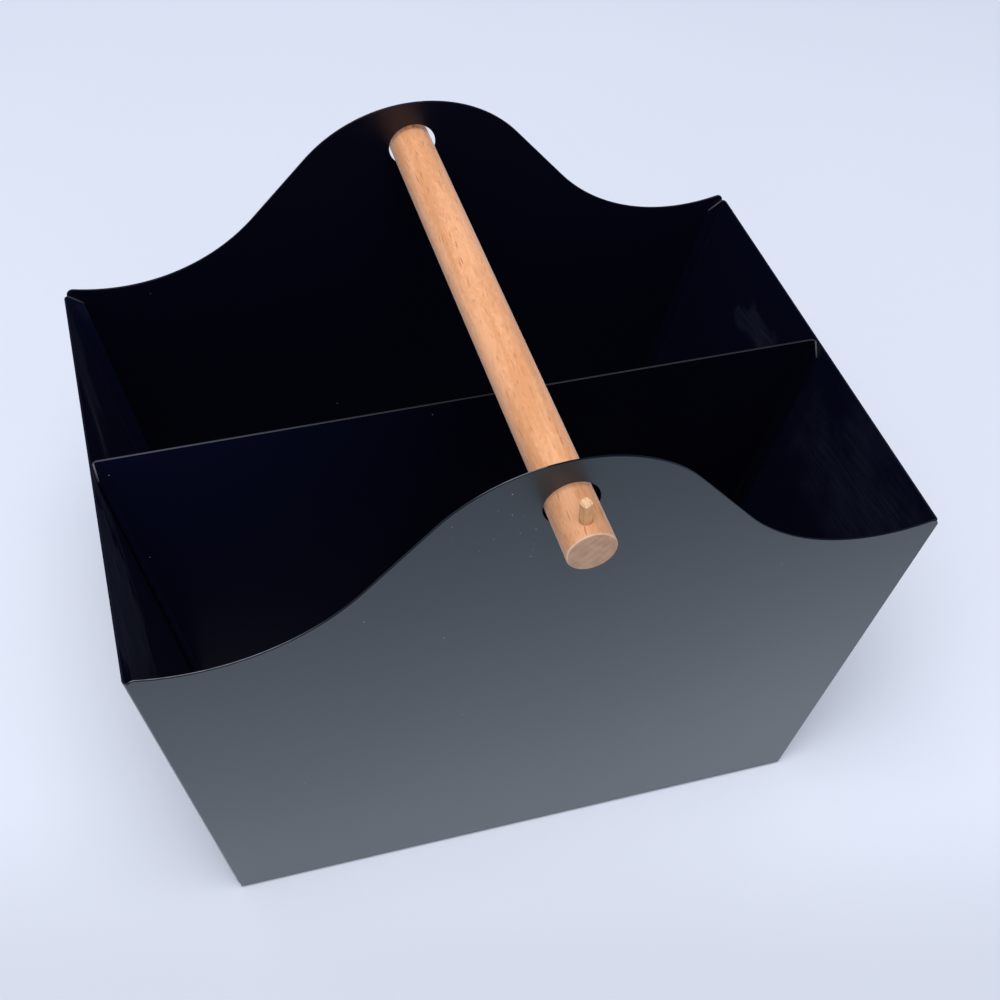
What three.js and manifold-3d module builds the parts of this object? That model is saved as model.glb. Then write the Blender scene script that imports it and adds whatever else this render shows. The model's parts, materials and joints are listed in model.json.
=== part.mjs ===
// A magazine basket of folded sheet metal with a loose wooden carrying handle.
// Millimetres, +Z up. The origin is on the floor under the middle of the basket.
// X runs along the width, and the front panel faces -Y.
import * as THREE from "three";
import { mergeVertices } from "three/addons/utils/BufferGeometryUtils.js";
import Module from "manifold-3d";

const wasm = await Module();
wasm.setup();

// Basket, measured over its outer faces
const topWidth = 350;
const bottomWidth = 285.5;
const wallHeight = 185;
const depth = 236;

// Wavy top edge of the two end panels
const crownRise = 84; // the crown's height over the side walls
const crownRadius = 71;
const flankLength = 40; // the straight stretch between crown and shoulder
const shoulderInset = 27; // from the top corner to the shoulder's lowest point
const panelCornerRadius = 3;
const panelInset = 1.4; // how far a panel's edge lies inside the folded edge behind it

// Sheet metal
const sheet = 1;
const bendRadius = 1.2; // inside a fold
const cornerEase = 0.8; // added to the bend where a side wall turns into the bottom
const seamGap = 0.3; // between two sheets that lie on each other
const flangeWidth = 8;
const mitreDrop = 5.5; // how far a flange's top falls towards its free edge
const bodyCornerSlot = 1.6; // where two flanges of the folded sheet meet at a bottom corner
const dividerCornerSlot = 3.2; // where two flanges of the divider meet
const dividerOffset = 2.5; // the divider's front face behind the middle of the basket

// Handle
const dowelDiameter = 20;
const dowelOverhang = 23.3; // beyond the front panel, where the handle lies slid forward
const dowelChamfer = 0.7;
const handleClearance = 1.5; // around the dowel in a panel's hole
const handleRestGap = 0.3; // under the dowel where it lies in the hole
const holeBelowCrown = 23.5; // from the crown's top to the middle of the hole

// Pegs
const pegDiameter = 5;
const pegFlat = 2.1; // from the peg's axis to each of its four whittled flats
const pegFlatStart = 2; // the height over the dowel where the flats begin
const pegStand = 10; // how far a peg stands out of the dowel
const pegDepth = 14; // how far it is driven in
const pegFromEnd = 7.5;
const pegClearance = 0.3;
const stopGap = 0.4; // from the back panel to the back peg, which stops the handle there
const pegLean = 6; // degrees that the handle lies turned to the left

// Smoothness of round stretches, and the distance within which two corners are one
const arcSteps = 20;
const foldSteps = 4;
const mergeDistance = 1e-4;

const foldRadius = bendRadius + sheet; // outside a fold
const cornerBend = foldRadius + cornerEase;
const crownHeight = wallHeight + crownRise;
const wallSlope = Math.atan((topWidth - bottomWidth) / 2 / wallHeight);
const bodyDepth = depth - 2 * (sheet + seamGap);
const holeRadius = dowelDiameter / 2 + handleClearance;
const holeHeight = crownHeight - holeBelowCrown;
const dowelHeight = holeHeight - handleClearance + handleRestGap;
const dowelLength = dowelOverhang + depth + stopGap + pegDiameter / 2 + pegFromEnd;
const pegPlace = dowelLength / 2 - pegFromEnd; // along the dowel, from its middle
const overrun = 10; // how far a cutting solid runs past what it cuts

// Distance from the middle plane to a line that lies inset from a side wall's outer face.
function wallX(height, inset) {
  const outer = bottomWidth / 2 + height * Math.tan(wallSlope);
  return outer - inset / Math.cos(wallSlope);
}

function toSolid(geometry) {
  const bare = geometry.clone();
  bare.deleteAttribute("normal");
  bare.deleteAttribute("uv");
  const merged = mergeVertices(bare, mergeDistance);
  const vertProperties = new Float32Array(merged.attributes.position.array);
  const triVerts = new Uint32Array(merged.index.array);
  return new wasm.Manifold(new wasm.Mesh({ numProp: 3, vertProperties, triVerts }));
}

function toGeometry(solid) {
  const { vertProperties, triVerts } = solid.getMesh();
  const geometry = new THREE.BufferGeometry();
  geometry.setAttribute("position", new THREE.BufferAttribute(vertProperties, 3));
  geometry.setIndex(new THREE.BufferAttribute(triVerts, 1));
  geometry.computeVertexNormals();
  return geometry;
}

function boxSolid(low, high) {
  const size = high.map((value, axis) => value - low[axis]);
  const box = new THREE.BoxGeometry(...size);
  box.translate(...low.map((value, axis) => value + size[axis] / 2));
  return toSolid(box);
}

// A front view outline, with its Y turned up to +Z, made a solid between two depths.
// A fold radius rounds all its edges at both ends, as they are on a folded sheet.
function upright(shape, frontY, backY, fold = 0) {
  const geometry = new THREE.ExtrudeGeometry(shape, {
    depth: backY - frontY - 2 * fold,
    curveSegments: fold > 0 ? foldSteps : arcSteps,
    bevelEnabled: fold > 0,
    bevelThickness: fold,
    bevelSize: fold,
    bevelOffset: -fold,
    bevelSegments: foldSteps,
  });
  geometry.rotateX(Math.PI / 2);
  geometry.translate(0, backY - fold, 0);
  return toSolid(geometry);
}

// Front view of the space inside the side walls and the bottom, inset from their outer faces.
function wallOutline(inset, top, cornerRadius) {
  const centreHeight = inset + cornerRadius;
  const centreX = wallX(centreHeight, inset + cornerRadius);
  const shape = new THREE.Shape();
  shape.moveTo(wallX(top, inset), top);
  shape.lineTo(-wallX(top, inset), top);
  shape.absarc(-centreX, centreHeight, cornerRadius, Math.PI + wallSlope, 1.5 * Math.PI, false);
  shape.absarc(centreX, centreHeight, cornerRadius, -0.5 * Math.PI, -wallSlope, false);
  shape.closePath();
  return shape;
}

// Cuts a gap between the side flange and the bottom flange at both bottom corners.
function cutCornerSlots(solid, inset, width, frontY, backY) {
  const centreHeight = inset + cornerBend;
  const centreX = wallX(centreHeight, inset + cornerBend);
  const inwards = (Math.PI / 2 + wallSlope) / 2;
  const reach = 2 * flangeWidth;
  let result = solid;
  for (const side of [-1, 1]) {
    const slot = new THREE.BoxGeometry(reach, backY - frontY, width);
    slot.rotateY(-side * inwards);
    slot.translate(side * centreX, (frontY + backY) / 2, centreHeight);
    result = result.subtract(toSolid(slot));
  }
  return result;
}

// One sheet folded up into both side walls and the bottom. Flanges along its front and
// back edges lie behind the end panels.
function bodySheet() {
  const front = -bodyDepth / 2;
  const back = bodyDepth / 2;
  const top = wallHeight + overrun;
  const outside = upright(wallOutline(0, top, cornerBend), front, back, foldRadius);
  const inside = upright(
    wallOutline(sheet, top + overrun, cornerBend - sheet),
    front + sheet,
    back - sheet,
    bendRadius,
  );

  // The opening between the flanges, with the mitred tops of the side flanges.
  const mitreEnd = wallHeight - mitreDrop;
  const opening = new THREE.Shape();
  opening.moveTo(-wallX(wallHeight, foldRadius), top + overrun);
  opening.lineTo(-wallX(wallHeight, foldRadius), wallHeight);
  opening.lineTo(-wallX(mitreEnd, flangeWidth), mitreEnd);
  opening.lineTo(-wallX(flangeWidth, flangeWidth), flangeWidth);
  opening.lineTo(wallX(flangeWidth, flangeWidth), flangeWidth);
  opening.lineTo(wallX(mitreEnd, flangeWidth), mitreEnd);
  opening.lineTo(wallX(wallHeight, foldRadius), wallHeight);
  opening.lineTo(wallX(wallHeight, foldRadius), top + overrun);
  opening.closePath();

  const above = boxSolid(
    [-topWidth, -depth, wallHeight],
    [topWidth, depth, top + overrun],
  );
  let folded = outside.subtract(inside).subtract(above);
  folded = folded.subtract(upright(opening, front - overrun, back + overrun));
  folded = cutCornerSlots(folded, 0, bodyCornerSlot, front - overrun, front + foldRadius);
  return cutCornerSlots(folded, 0, bodyCornerSlot, back - foldRadius, back + overrun);
}

// The divider: a flat sheet across the basket. Its flanges are folded to the front and lie
// on the side walls and the bottom.
function divider() {
  const back = dividerOffset + sheet;
  const front = back - flangeWidth;
  const inset = sheet + seamGap;
  const top = wallHeight + overrun;
  const outside = upright(wallOutline(inset, top, cornerBend), front - overrun, back, foldRadius);
  const inside = upright(
    wallOutline(inset + sheet, top + overrun, cornerBend - sheet),
    front - 2 * overrun,
    back - sheet,
    bendRadius,
  );
  const above = boxSolid(
    [-topWidth, front - 2 * overrun, wallHeight],
    [topWidth, back + overrun, top + overrun],
  );
  const beyond = boxSolid(
    [-topWidth, front - 2 * overrun, -overrun],
    [topWidth, front, top + overrun],
  );
  let folded = outside.subtract(inside).subtract(above).subtract(beyond);

  // The mitred tops of the side flanges, seen from the side and cut right across the width.
  const mitre = new THREE.Shape();
  const foldStart = back - foldRadius;
  const fall = mitreDrop / (foldStart - front);
  mitre.moveTo(foldStart, wallHeight);
  mitre.lineTo(foldStart, wallHeight + overrun);
  mitre.lineTo(front - overrun, wallHeight + overrun);
  mitre.lineTo(front - overrun, wallHeight - mitreDrop - fall * overrun);
  mitre.closePath();
  const wedge = new THREE.ExtrudeGeometry(mitre, { depth: 2 * topWidth, bevelEnabled: false });
  wedge.rotateX(Math.PI / 2);
  wedge.rotateZ(Math.PI / 2);
  wedge.translate(-topWidth, 0, 0);
  folded = folded.subtract(toSolid(wedge));
  return cutCornerSlots(folded, inset, dividerCornerSlot, front - overrun, back - foldRadius);
}

// Outline of an end panel: straight leaning sides, and a top edge of a round crown, straight
// flanks and hollow shoulders, each tangent to the next.
function panelOutline() {
  const lowX = topWidth / 2 - shoulderInset;
  const radiiSum = (lowX ** 2 + crownRise ** 2 - flankLength ** 2) / (2 * crownRise);
  const shoulderRadius = radiiSum - crownRadius;
  const crownCentre = crownHeight - crownRadius;
  const shoulderCentre = wallHeight + shoulderRadius;
  const toShoulder = Math.atan2(shoulderCentre - crownCentre, lowX);
  const flank = toShoulder + Math.atan2(flankLength, radiiSum);

  const cornerX = wallX(wallHeight, panelInset);
  const turnStartX = cornerX - panelCornerRadius;
  const endAngle = -Math.acos((turnStartX - lowX) / shoulderRadius);
  const turnEnd = wallHeight - panelCornerRadius;
  const cornerHeight = shoulderCentre - Math.sqrt(shoulderRadius ** 2 - (cornerX - lowX) ** 2);

  const shape = new THREE.Shape();
  shape.moveTo(-wallX(panelInset, panelInset), panelInset);
  shape.lineTo(wallX(panelInset, panelInset), panelInset);
  shape.lineTo(wallX(turnEnd, panelInset), turnEnd);
  shape.quadraticCurveTo(
    cornerX,
    cornerHeight,
    turnStartX,
    shoulderCentre + shoulderRadius * Math.sin(endAngle),
  );
  shape.absarc(lowX, shoulderCentre, shoulderRadius, endAngle, flank - Math.PI, true);
  shape.absarc(0, crownCentre, crownRadius, flank, Math.PI - flank, false);
  shape.absarc(-lowX, shoulderCentre, shoulderRadius, -flank, -Math.PI - endAngle, true);
  shape.quadraticCurveTo(-cornerX, cornerHeight, -wallX(turnEnd, panelInset), turnEnd);
  shape.closePath();

  const hole = new THREE.Path();
  hole.absarc(0, holeHeight, holeRadius, 0, 2 * Math.PI, true);
  shape.holes.push(hole);
  return shape;
}

// One of the two end panels, whose outer face lies at the front or at the back.
function endPanel(side) {
  const outerY = (side * depth) / 2;
  const innerY = side * (depth / 2 - sheet);
  return upright(panelOutline(), Math.min(outerY, innerY), Math.max(outerY, innerY));
}

// The wooden dowel along Y, chamfered at its ends, with a blind hole for each peg.
function dowel() {
  const radius = dowelDiameter / 2;
  const end = dowelLength / 2;
  const profile = [
    [0, -end],
    [radius - dowelChamfer, -end],
    [radius, dowelChamfer - end],
    [radius, end - dowelChamfer],
    [radius - dowelChamfer, end],
    [0, end],
  ].map(([x, y]) => new THREE.Vector2(x, y));
  let wood = toSolid(new THREE.LatheGeometry(profile, 3 * arcSteps));
  const holeEnd = radius - pegDepth - pegClearance;
  const drill = new THREE.CylinderGeometry(
    pegDiameter / 2 + pegClearance,
    pegDiameter / 2 + pegClearance,
    radius + overrun - holeEnd,
    2 * arcSteps,
  );
  drill.rotateX(Math.PI / 2);
  drill.translate(0, 0, (radius + overrun + holeEnd) / 2);
  for (const side of [-1, 1]) {
    wood = wood.subtract(toSolid(drill.clone().translate(0, side * pegPlace, 0)));
  }
  return wood;
}

// A round peg along Z with four flats whittled on the part that stands out of the dowel.
function peg() {
  const low = dowelDiameter / 2 - pegDepth;
  const high = dowelDiameter / 2 + pegStand;
  const flatStart = dowelDiameter / 2 + pegFlatStart;
  const round = new THREE.CylinderGeometry(pegDiameter / 2, pegDiameter / 2, high - low, 2 * arcSteps);
  round.rotateX(Math.PI / 2);
  round.translate(0, 0, (low + high) / 2);
  const core = new THREE.BoxGeometry(2 * pegFlat, 2 * pegFlat, high - flatStart + overrun);
  core.rotateZ(Math.PI / 4);
  core.translate(0, 0, (flatStart + high + overrun) / 2);
  const below = boxSolid(
    [-pegDiameter, -pegDiameter, low - overrun],
    [pegDiameter, pegDiameter, flatStart],
  );
  return toSolid(round).intersect(toSolid(core).add(below));
}

const coating = { color: 0x15171a, roughness: 0.42, metalness: 0.1 };
const beech = { color: 0xd9a173, roughness: 0.6, metalness: 0 };
const pegWood = { color: 0xdcbc8c, roughness: 0.7, metalness: 0 };

function part(name, solid, finish) {
  const mesh = new THREE.Mesh(toGeometry(solid), new THREE.MeshStandardMaterial(finish));
  mesh.name = name;
  return mesh;
}

const basket = new THREE.Group();
basket.add(part("body_sheet", bodySheet(), coating));
basket.add(part("front_panel", endPanel(-1), coating));
basket.add(part("back_panel", endPanel(1), coating));
basket.add(part("divider", divider(), coating));

const handle = new THREE.Group();
handle.position.set(0, (dowelLength - depth) / 2 - dowelOverhang, dowelHeight);
handle.rotation.y = -THREE.MathUtils.degToRad(pegLean);
handle.add(part("handle_dowel", dowel(), beech));
for (const [name, side] of [["front_peg", -1], ["back_peg", 1]]) {
  const mesh = part(name, peg(), pegWood);
  mesh.position.y = side * pegPlace;
  handle.add(mesh);
}

const magazineBasket = new THREE.Group();
magazineBasket.add(basket, handle);

export default magazineBasket;
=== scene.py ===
"""Dresses the magazine basket: black coated sheet metal with a loose beech handle."""
import json
import logging
import math
from dataclasses import dataclass, field, replace
from enum import Enum
from functools import cache
from typing import Callable, Union

import bmesh
import bpy
from mathutils import Matrix, Vector, noise


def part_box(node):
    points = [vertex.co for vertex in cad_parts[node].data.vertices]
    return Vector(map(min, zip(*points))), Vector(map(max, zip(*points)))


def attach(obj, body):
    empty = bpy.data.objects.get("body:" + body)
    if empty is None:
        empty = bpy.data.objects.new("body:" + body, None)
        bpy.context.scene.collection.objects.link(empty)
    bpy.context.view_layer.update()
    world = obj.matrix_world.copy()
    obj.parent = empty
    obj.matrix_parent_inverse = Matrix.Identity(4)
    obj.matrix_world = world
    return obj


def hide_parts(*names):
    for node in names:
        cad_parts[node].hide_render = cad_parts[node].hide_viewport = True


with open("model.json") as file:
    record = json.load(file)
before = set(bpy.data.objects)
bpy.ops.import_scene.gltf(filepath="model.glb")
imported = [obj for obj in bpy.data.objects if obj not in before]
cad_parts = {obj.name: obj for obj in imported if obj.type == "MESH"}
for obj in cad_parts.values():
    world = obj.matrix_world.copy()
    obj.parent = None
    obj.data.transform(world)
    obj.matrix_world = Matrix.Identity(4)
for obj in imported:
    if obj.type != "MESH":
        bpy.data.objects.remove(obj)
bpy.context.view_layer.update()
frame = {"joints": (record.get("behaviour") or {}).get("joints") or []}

log = logging.getLogger("magazine_basket")

MM = 0.001
MERGE_DISTANCE = 0.001 * MM
QUARTER_TURN = math.pi / 2
ORIGIN = (0.0, 0.0, 0.0)
IMAGE_SIDE = 1000.0
SENSOR_WIDTH_MM = 36.0

Triple = tuple[float, float, float]
Colour = Triple
Value = Union[float, bool, Triple, str, "Term", "Placed", list["Placed"]]


class Body(Enum):
    """The bodies of the frame that pieces ride on."""

    BASKET = "basket"
    HANDLE = "handle"


class Slot(Enum):
    """The record's material slots."""

    COATING = "black_coating"
    BEECH = "beech"
    PEG_WOOD = "peg_wood"


class End(Enum):
    """The two ends of the basket, as the sign of Y."""

    FRONT = -1
    BACK = 1


# Node trees

class TreeKind(Enum):
    """The kinds of node group, each with the socket type of its outputs."""

    SHADER = ("ShaderNodeTree", "NodeSocketFloat")
    GEOMETRY = ("GeometryNodeTree", "NodeSocketGeometry")


INPUT_TYPES = {float: "NodeSocketFloat", int: "NodeSocketInt", tuple: "NodeSocketVector",
               type(None): "NodeSocketMaterial"}
VECTOR_TO_NUMBER = ("DISTANCE", "LENGTH", "DOT_PRODUCT")
NOISE_MEAN = 0.5


def arithmetic(operation: str, behind: bool = False) -> Callable[..., "Term"]:
    """Makes a term's method for one sign of arithmetic.

    Args:
        operation: The Math node's operation.
        behind: Whether the term stands behind the sign.

    Returns:
        The method.
    """
    def work_out(term: "Term", *others: Value) -> "Term":
        """Adds the Math node to the term's sheet."""
        values = (*others, term) if behind else (term, *others)
        return term.sheet.math(operation, *values)
    return work_out


@dataclass(frozen=True, eq=False)
class Term:
    """A value that a node tree works out, with plain arithmetic on it.

    Args:
        sheet: The tree's sheet.
        socket: The output that holds the value.
    """

    sheet: "NodeSheet"
    socket: bpy.types.NodeSocket

    __add__ = arithmetic("ADD")
    __sub__ = arithmetic("SUBTRACT")
    __rsub__ = arithmetic("SUBTRACT", behind=True)
    __mul__ = arithmetic("MULTIPLY")
    __truediv__ = arithmetic("DIVIDE")
    __rtruediv__ = arithmetic("DIVIDE", behind=True)
    __pow__ = arithmetic("POWER")
    __abs__ = arithmetic("ABSOLUTE")
    __gt__ = arithmetic("GREATER_THAN")
    __lt__ = arithmetic("LESS_THAN")


@dataclass(frozen=True)
class Placed:
    """A node in a tree.

    Args:
        sheet: The tree's sheet.
        node: The node.
    """

    sheet: "NodeSheet"
    node: bpy.types.Node

    def __getitem__(self, output: Union[str, int]) -> Term:
        """One of the node's outputs, by name or number."""
        return Term(self.sheet, self.node.outputs[output])

    def feed(self, inputs: dict[Union[str, int], Value]) -> None:
        """Links inputs to outputs of other nodes, or sets their own values.

        Args:
            inputs: For each input's name or number, a term, a node for its first output, a
                list of nodes for an input that joins several, or a plain value.
        """
        for name, given in inputs.items():
            socket = self.node.inputs[name]
            for value in given if isinstance(given, list) else [given]:
                if isinstance(value, Placed):
                    value = value[0]
                if isinstance(value, Term):
                    self.sheet.tree.links.new(value.socket, socket)
                elif isinstance(value, tuple) and len(socket.default_value) == 4:
                    socket.default_value = (*value, 1.0)
                else:
                    socket.default_value = value


@dataclass(frozen=True)
class NodeSheet:
    """A node tree, with short ways to add nodes.

    Args:
        tree: The shader or geometry tree that the nodes are added to.
    """

    tree: bpy.types.NodeTree

    def add(self, kind: str, inputs: Union[dict[Union[str, int], Value], None] = None,
            **settings: object) -> Placed:
        """Adds a node.

        Args:
            kind: The node's type name.
            inputs: What its inputs get, as Placed.feed takes it.
            **settings: Properties of the node and their values.

        Returns:
            The new node.
        """
        node = self.tree.nodes.new(kind)
        for name, value in settings.items():
            setattr(node, name, value)
        placed = Placed(self, node)
        placed.feed(inputs or {})
        return placed

    def math(self, operation: str, *values: Value, clamp: bool = False) -> Term:
        """Adds a Math node, kept between 0 and 1 if it is clamped, and returns its result."""
        return self.add("ShaderNodeMath", dict(enumerate(values)), operation=operation,
                        use_clamp=clamp)["Value"]

    def vector(self, operation: str, *values: Value) -> Term:
        """Adds a Vector Math node and returns its vector or number."""
        node = self.add("ShaderNodeVectorMath", dict(enumerate(values)), operation=operation)
        return node["Value" if operation in VECTOR_TO_NUMBER else "Vector"]

    def ramp(self, value: Value, low: float, high: float, out_low: Value = 0.0,
             out_high: Value = 1.0) -> Term:
        """Maps a value smoothly from one range to another.

        Args:
            value: What is mapped.
            low: The value that gives out_low.
            high: The value that gives out_high.
            out_low: The result at low.
            out_high: The result at high.

        Returns:
            The result.
        """
        return self.add("ShaderNodeMapRange", {
            "Value": value, "From Min": low, "From Max": high, "To Min": out_low,
            "To Max": out_high}, interpolation_type="SMOOTHSTEP")["Result"]

    def mix(self, factor: Value, first: Value, second: Value, blend: str = "MIX") -> Term:
        """Mixes two colours.

        Args:
            factor: The share of the second colour.
            first: The first colour.
            second: The second colour.
            blend: How they are mixed.

        Returns:
            The mixed colour.
        """
        return self.add("ShaderNodeMix", {0: factor, 6: first, 7: second}, data_type="RGBA",
                        blend_type=blend)[2]

    def noise(self, place: Value, scale: Value, detail: float = 3.0,
              distortion: Value = 0.0) -> Term:
        """Adds a noise texture.

        Args:
            place: The place on the piece.
            scale: How many pattern units a metre holds, one number or one for each axis.
            detail: How many finer layers are added.
            distortion: How far the pattern is bent.

        Returns:
            Its value.
        """
        if isinstance(scale, tuple) or isinstance(scale, Term) and scale.socket.type == "VECTOR":
            place, scale = self.vector("MULTIPLY", place, scale), 1.0
        return self.add("ShaderNodeTexNoise", {
            "Vector": place, "Scale": scale, "Detail": detail, "Distortion": distortion})["Fac"]

    def turned(self, place: Value, turn: Value) -> Term:
        """A place turned about the origin by three angles in radians."""
        return self.add("ShaderNodeVectorRotate", {"Vector": place, "Rotation": turn},
                        rotation_type="EULER_XYZ")["Vector"]

    def coat(self, geometry: Value, finish: Value, chosen: Value = True) -> Placed:
        """Gives the chosen faces of a geometry a finish."""
        return self.add("GeometryNodeSetMaterial", {
            "Geometry": geometry, "Material": finish, "Selection": chosen})

    def split(self, vector: Value) -> tuple[Term, Term, Term]:
        """The X, Y and Z of a vector."""
        axes = self.add("ShaderNodeSeparateXYZ", {"Vector": vector})
        return axes["X"], axes["Y"], axes["Z"]

    def join(self, x: Value = 0.0, y: Value = 0.0, z: Value = 0.0) -> Term:
        """The vector with this X, Y and Z."""
        return self.add("ShaderNodeCombineXYZ", {"X": x, "Y": y, "Z": z})["Vector"]


def new_group(name: str, kind: TreeKind, inputs: dict[str, object],
              *outputs: str) -> tuple[NodeSheet, Placed, Placed]:
    """Makes a node group with named sockets.

    Args:
        name: The group's name.
        kind: Its kind.
        inputs: For each input, its first value, or None for a material.
        *outputs: Its outputs.

    Returns:
        The group's sheet, its input node and its output node.
    """
    tree_type, output_type = kind.value
    tree = bpy.data.node_groups.new(name, tree_type)
    for label, value in inputs.items():
        socket = tree.interface.new_socket(label, in_out="INPUT",
                                           socket_type=INPUT_TYPES[type(value)])
        if value is not None:
            socket.default_value = value
    for label in outputs:
        tree.interface.new_socket(label, in_out="OUTPUT", socket_type=output_type)
    sheet = NodeSheet(tree)
    return sheet, sheet.add("NodeGroupInput"), sheet.add("NodeGroupOutput")


# Shared effects

@cache
def orange_peel_group() -> bpy.types.NodeTree:
    """The fine pebbled surface of a baked coating, with a slow change of its gloss.

    Returns:
        A group with the outputs Height and Gloss Change.
    """
    sheet, given, result = new_group(
        "Orange peel", TreeKind.SHADER,
        {"Place": ORIGIN, "Pebble Scale": 1400.0, "Cloud Scale": 9.0}, "Height", "Gloss Change")
    clouds = sheet.noise(given["Place"], given["Cloud Scale"], detail=4.0)
    result.feed({"Height": sheet.noise(given["Place"], given["Pebble Scale"], detail=2.0),
                 "Gloss Change": sheet.ramp(clouds, low=0.3, high=0.7, out_low=-1.0)})
    return sheet.tree


@cache
def dust_group() -> bpy.types.NodeTree:
    """Small pale specks of dust, more of them round one place.

    Returns:
        A group with the output Mask.
    """
    sheet, given, result = new_group(
        "Dust specks", TreeKind.SHADER,
        {"Place": ORIGIN, "Spacing": 0.0055, "Speck Size": 0.06, "Least Size": 0.4,
         "Centre": ORIGIN, "Reach": 0.032, "Share Near": 0.45, "Share Elsewhere": 0.0025}, "Mask")
    x, y, z = sheet.split(given["Place"])
    cells = sheet.add("ShaderNodeTexVoronoi", {
        "Vector": sheet.join(x + y, z), "Scale": 1.0 / given["Spacing"]}, voronoi_dimensions="2D")
    away = sheet.vector("DISTANCE", given["Place"], given["Centre"])
    near = sheet.math("SUBTRACT", 1.0, away / given["Reach"], clamp=True)
    chance = sheet.add("ShaderNodeSeparateColor", {"Color": cells["Color"]})
    chosen = chance["Red"] < near * given["Share Near"] + given["Share Elsewhere"]
    size = given["Speck Size"] * sheet.ramp(chance["Green"], 0.0, 1.0, given["Least Size"], 1.0)
    result.feed({"Mask": chosen * (cells["Distance"] < size)})
    return sheet.tree


@cache
def rub_mark_group() -> bpy.types.NodeTree:
    """One soft rub mark on a side wall, streaked along its length.

    Returns:
        A group with the output Mask.
    """
    sheet, given, result = new_group(
        "Rub mark", TreeKind.SHADER,
        {"Place": ORIGIN, "Centre": ORIGIN, "Half Length": 0.02, "Half Width": 0.005, "Turn": 0.0,
         "Depth": 0.02, "Softness": 0.65, "Raggedness": 1.6, "Ragged Scale": 70.0,
         "Streak Stretch": (90.0, 700.0, 45.0), "Faintest Streak": 0.4}, "Mask")
    moved = sheet.vector("SUBTRACT", given["Place"], given["Centre"])
    local = sheet.turned(moved, sheet.join(given["Turn"]))
    size = sheet.join(given["Depth"], given["Half Width"], given["Half Length"])
    ragged = (sheet.noise(local, given["Ragged Scale"]) - NOISE_MEAN) * given["Raggedness"]
    reach = ragged + sheet.vector("LENGTH", sheet.vector("DIVIDE", local, size))
    body = sheet.ramp(reach, 1.0 - given["Softness"], 1.0, 1.0, 0.0)
    streaks = sheet.noise(local, given["Streak Stretch"], detail=2.0)
    fine = sheet.ramp(streaks, low=0.3, high=0.75, out_low=given["Faintest Streak"])
    result.feed({"Mask": body * fine})
    return sheet.tree


@dataclass(frozen=True)
class FleckLayer:
    """One layer of the short flecks in long grain.

    Args:
        stretch: How many of the pattern's cells a metre holds along each axis.
        offset: Where the pattern starts.
        size: Size of its flecks against those of a full layer.
    """

    stretch: Triple
    offset: Triple
    size: float


FLECK_LAYERS = (
    FleckLayer((1100.0, 48.0, 1100.0), ORIGIN, 1.0),
    FleckLayer((1000.0, 90.0, 1000.0), (0.011, 0.007, 0.013), 0.95),
    FleckLayer((1500.0, 170.0, 1500.0), (0.031, 0.017, 0.003), 0.85),
)


@cache
def long_grain_group() -> bpy.types.NodeTree:
    """Long grain of pale hardwood: rings, fibres and short dark flecks along Y.

    Returns:
        A group with the outputs Ring, Fibre and Fleck.
    """
    sheet, given, result = new_group(
        "Long grain", TreeKind.SHADER,
        {"Place": ORIGIN, "Grain Turn": ORIGIN, "Ring Stretch": (150.0, 9.0, 210.0),
         "Ring Bend": 0.4, "Mottle Stretch": (520.0, 170.0, 520.0), "Mottling": 0.55,
         "Fibre Stretch": (2200.0, 90.0, 2200.0), "Wander Scale": 60.0,
         "Wander": (0.003, 0.0, 0.003), "Fleck Size": 0.36, "Fleck Chance": 0.36,
         "Faintest Fleck": 0.18, "Fleck Contrast": 1.6}, "Ring", "Fibre", "Fleck")
    place = sheet.turned(given["Place"], given["Grain Turn"])
    mottle = sheet.noise(place, given["Mottle Stretch"], distortion=1.0) - NOISE_MEAN
    rings = sheet.noise(place, given["Ring Stretch"], detail=2.0, distortion=given["Ring Bend"])
    rings = mottle * given["Mottling"] + rings
    wander = sheet.noise(place, given["Wander Scale"], detail=2.0)
    bent = sheet.vector("MULTIPLY_ADD", wander, given["Wander"], place)
    faintest = given["Faintest Fleck"]
    flecks = 0.0
    for layer in FLECK_LAYERS:
        moved = sheet.vector("SUBTRACT", bent, layer.offset)
        cells = sheet.add("ShaderNodeTexVoronoi", {
            "Vector": sheet.vector("MULTIPLY", moved, layer.stretch), "Scale": 1.0})
        size = given["Fleck Size"] * layer.size
        near = sheet.math("SUBTRACT", 1.0, cells["Distance"] / size, clamp=True)
        chance = sheet.add("ShaderNodeSeparateColor", {"Color": cells["Color"]})
        chosen = chance["Red"] < given["Fleck Chance"]
        strength = chance["Green"] ** given["Fleck Contrast"] * (1.0 - faintest) + faintest
        fleck = sheet.ramp(near, low=0.0, high=0.6) * (chosen * strength)
        flecks = sheet.math("MAXIMUM", flecks, fleck)
    result.feed({"Ring": sheet.ramp(rings, low=0.3, high=0.7),
                 "Fibre": sheet.noise(place, given["Fibre Stretch"]), "Fleck": flecks})
    return sheet.tree


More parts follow.
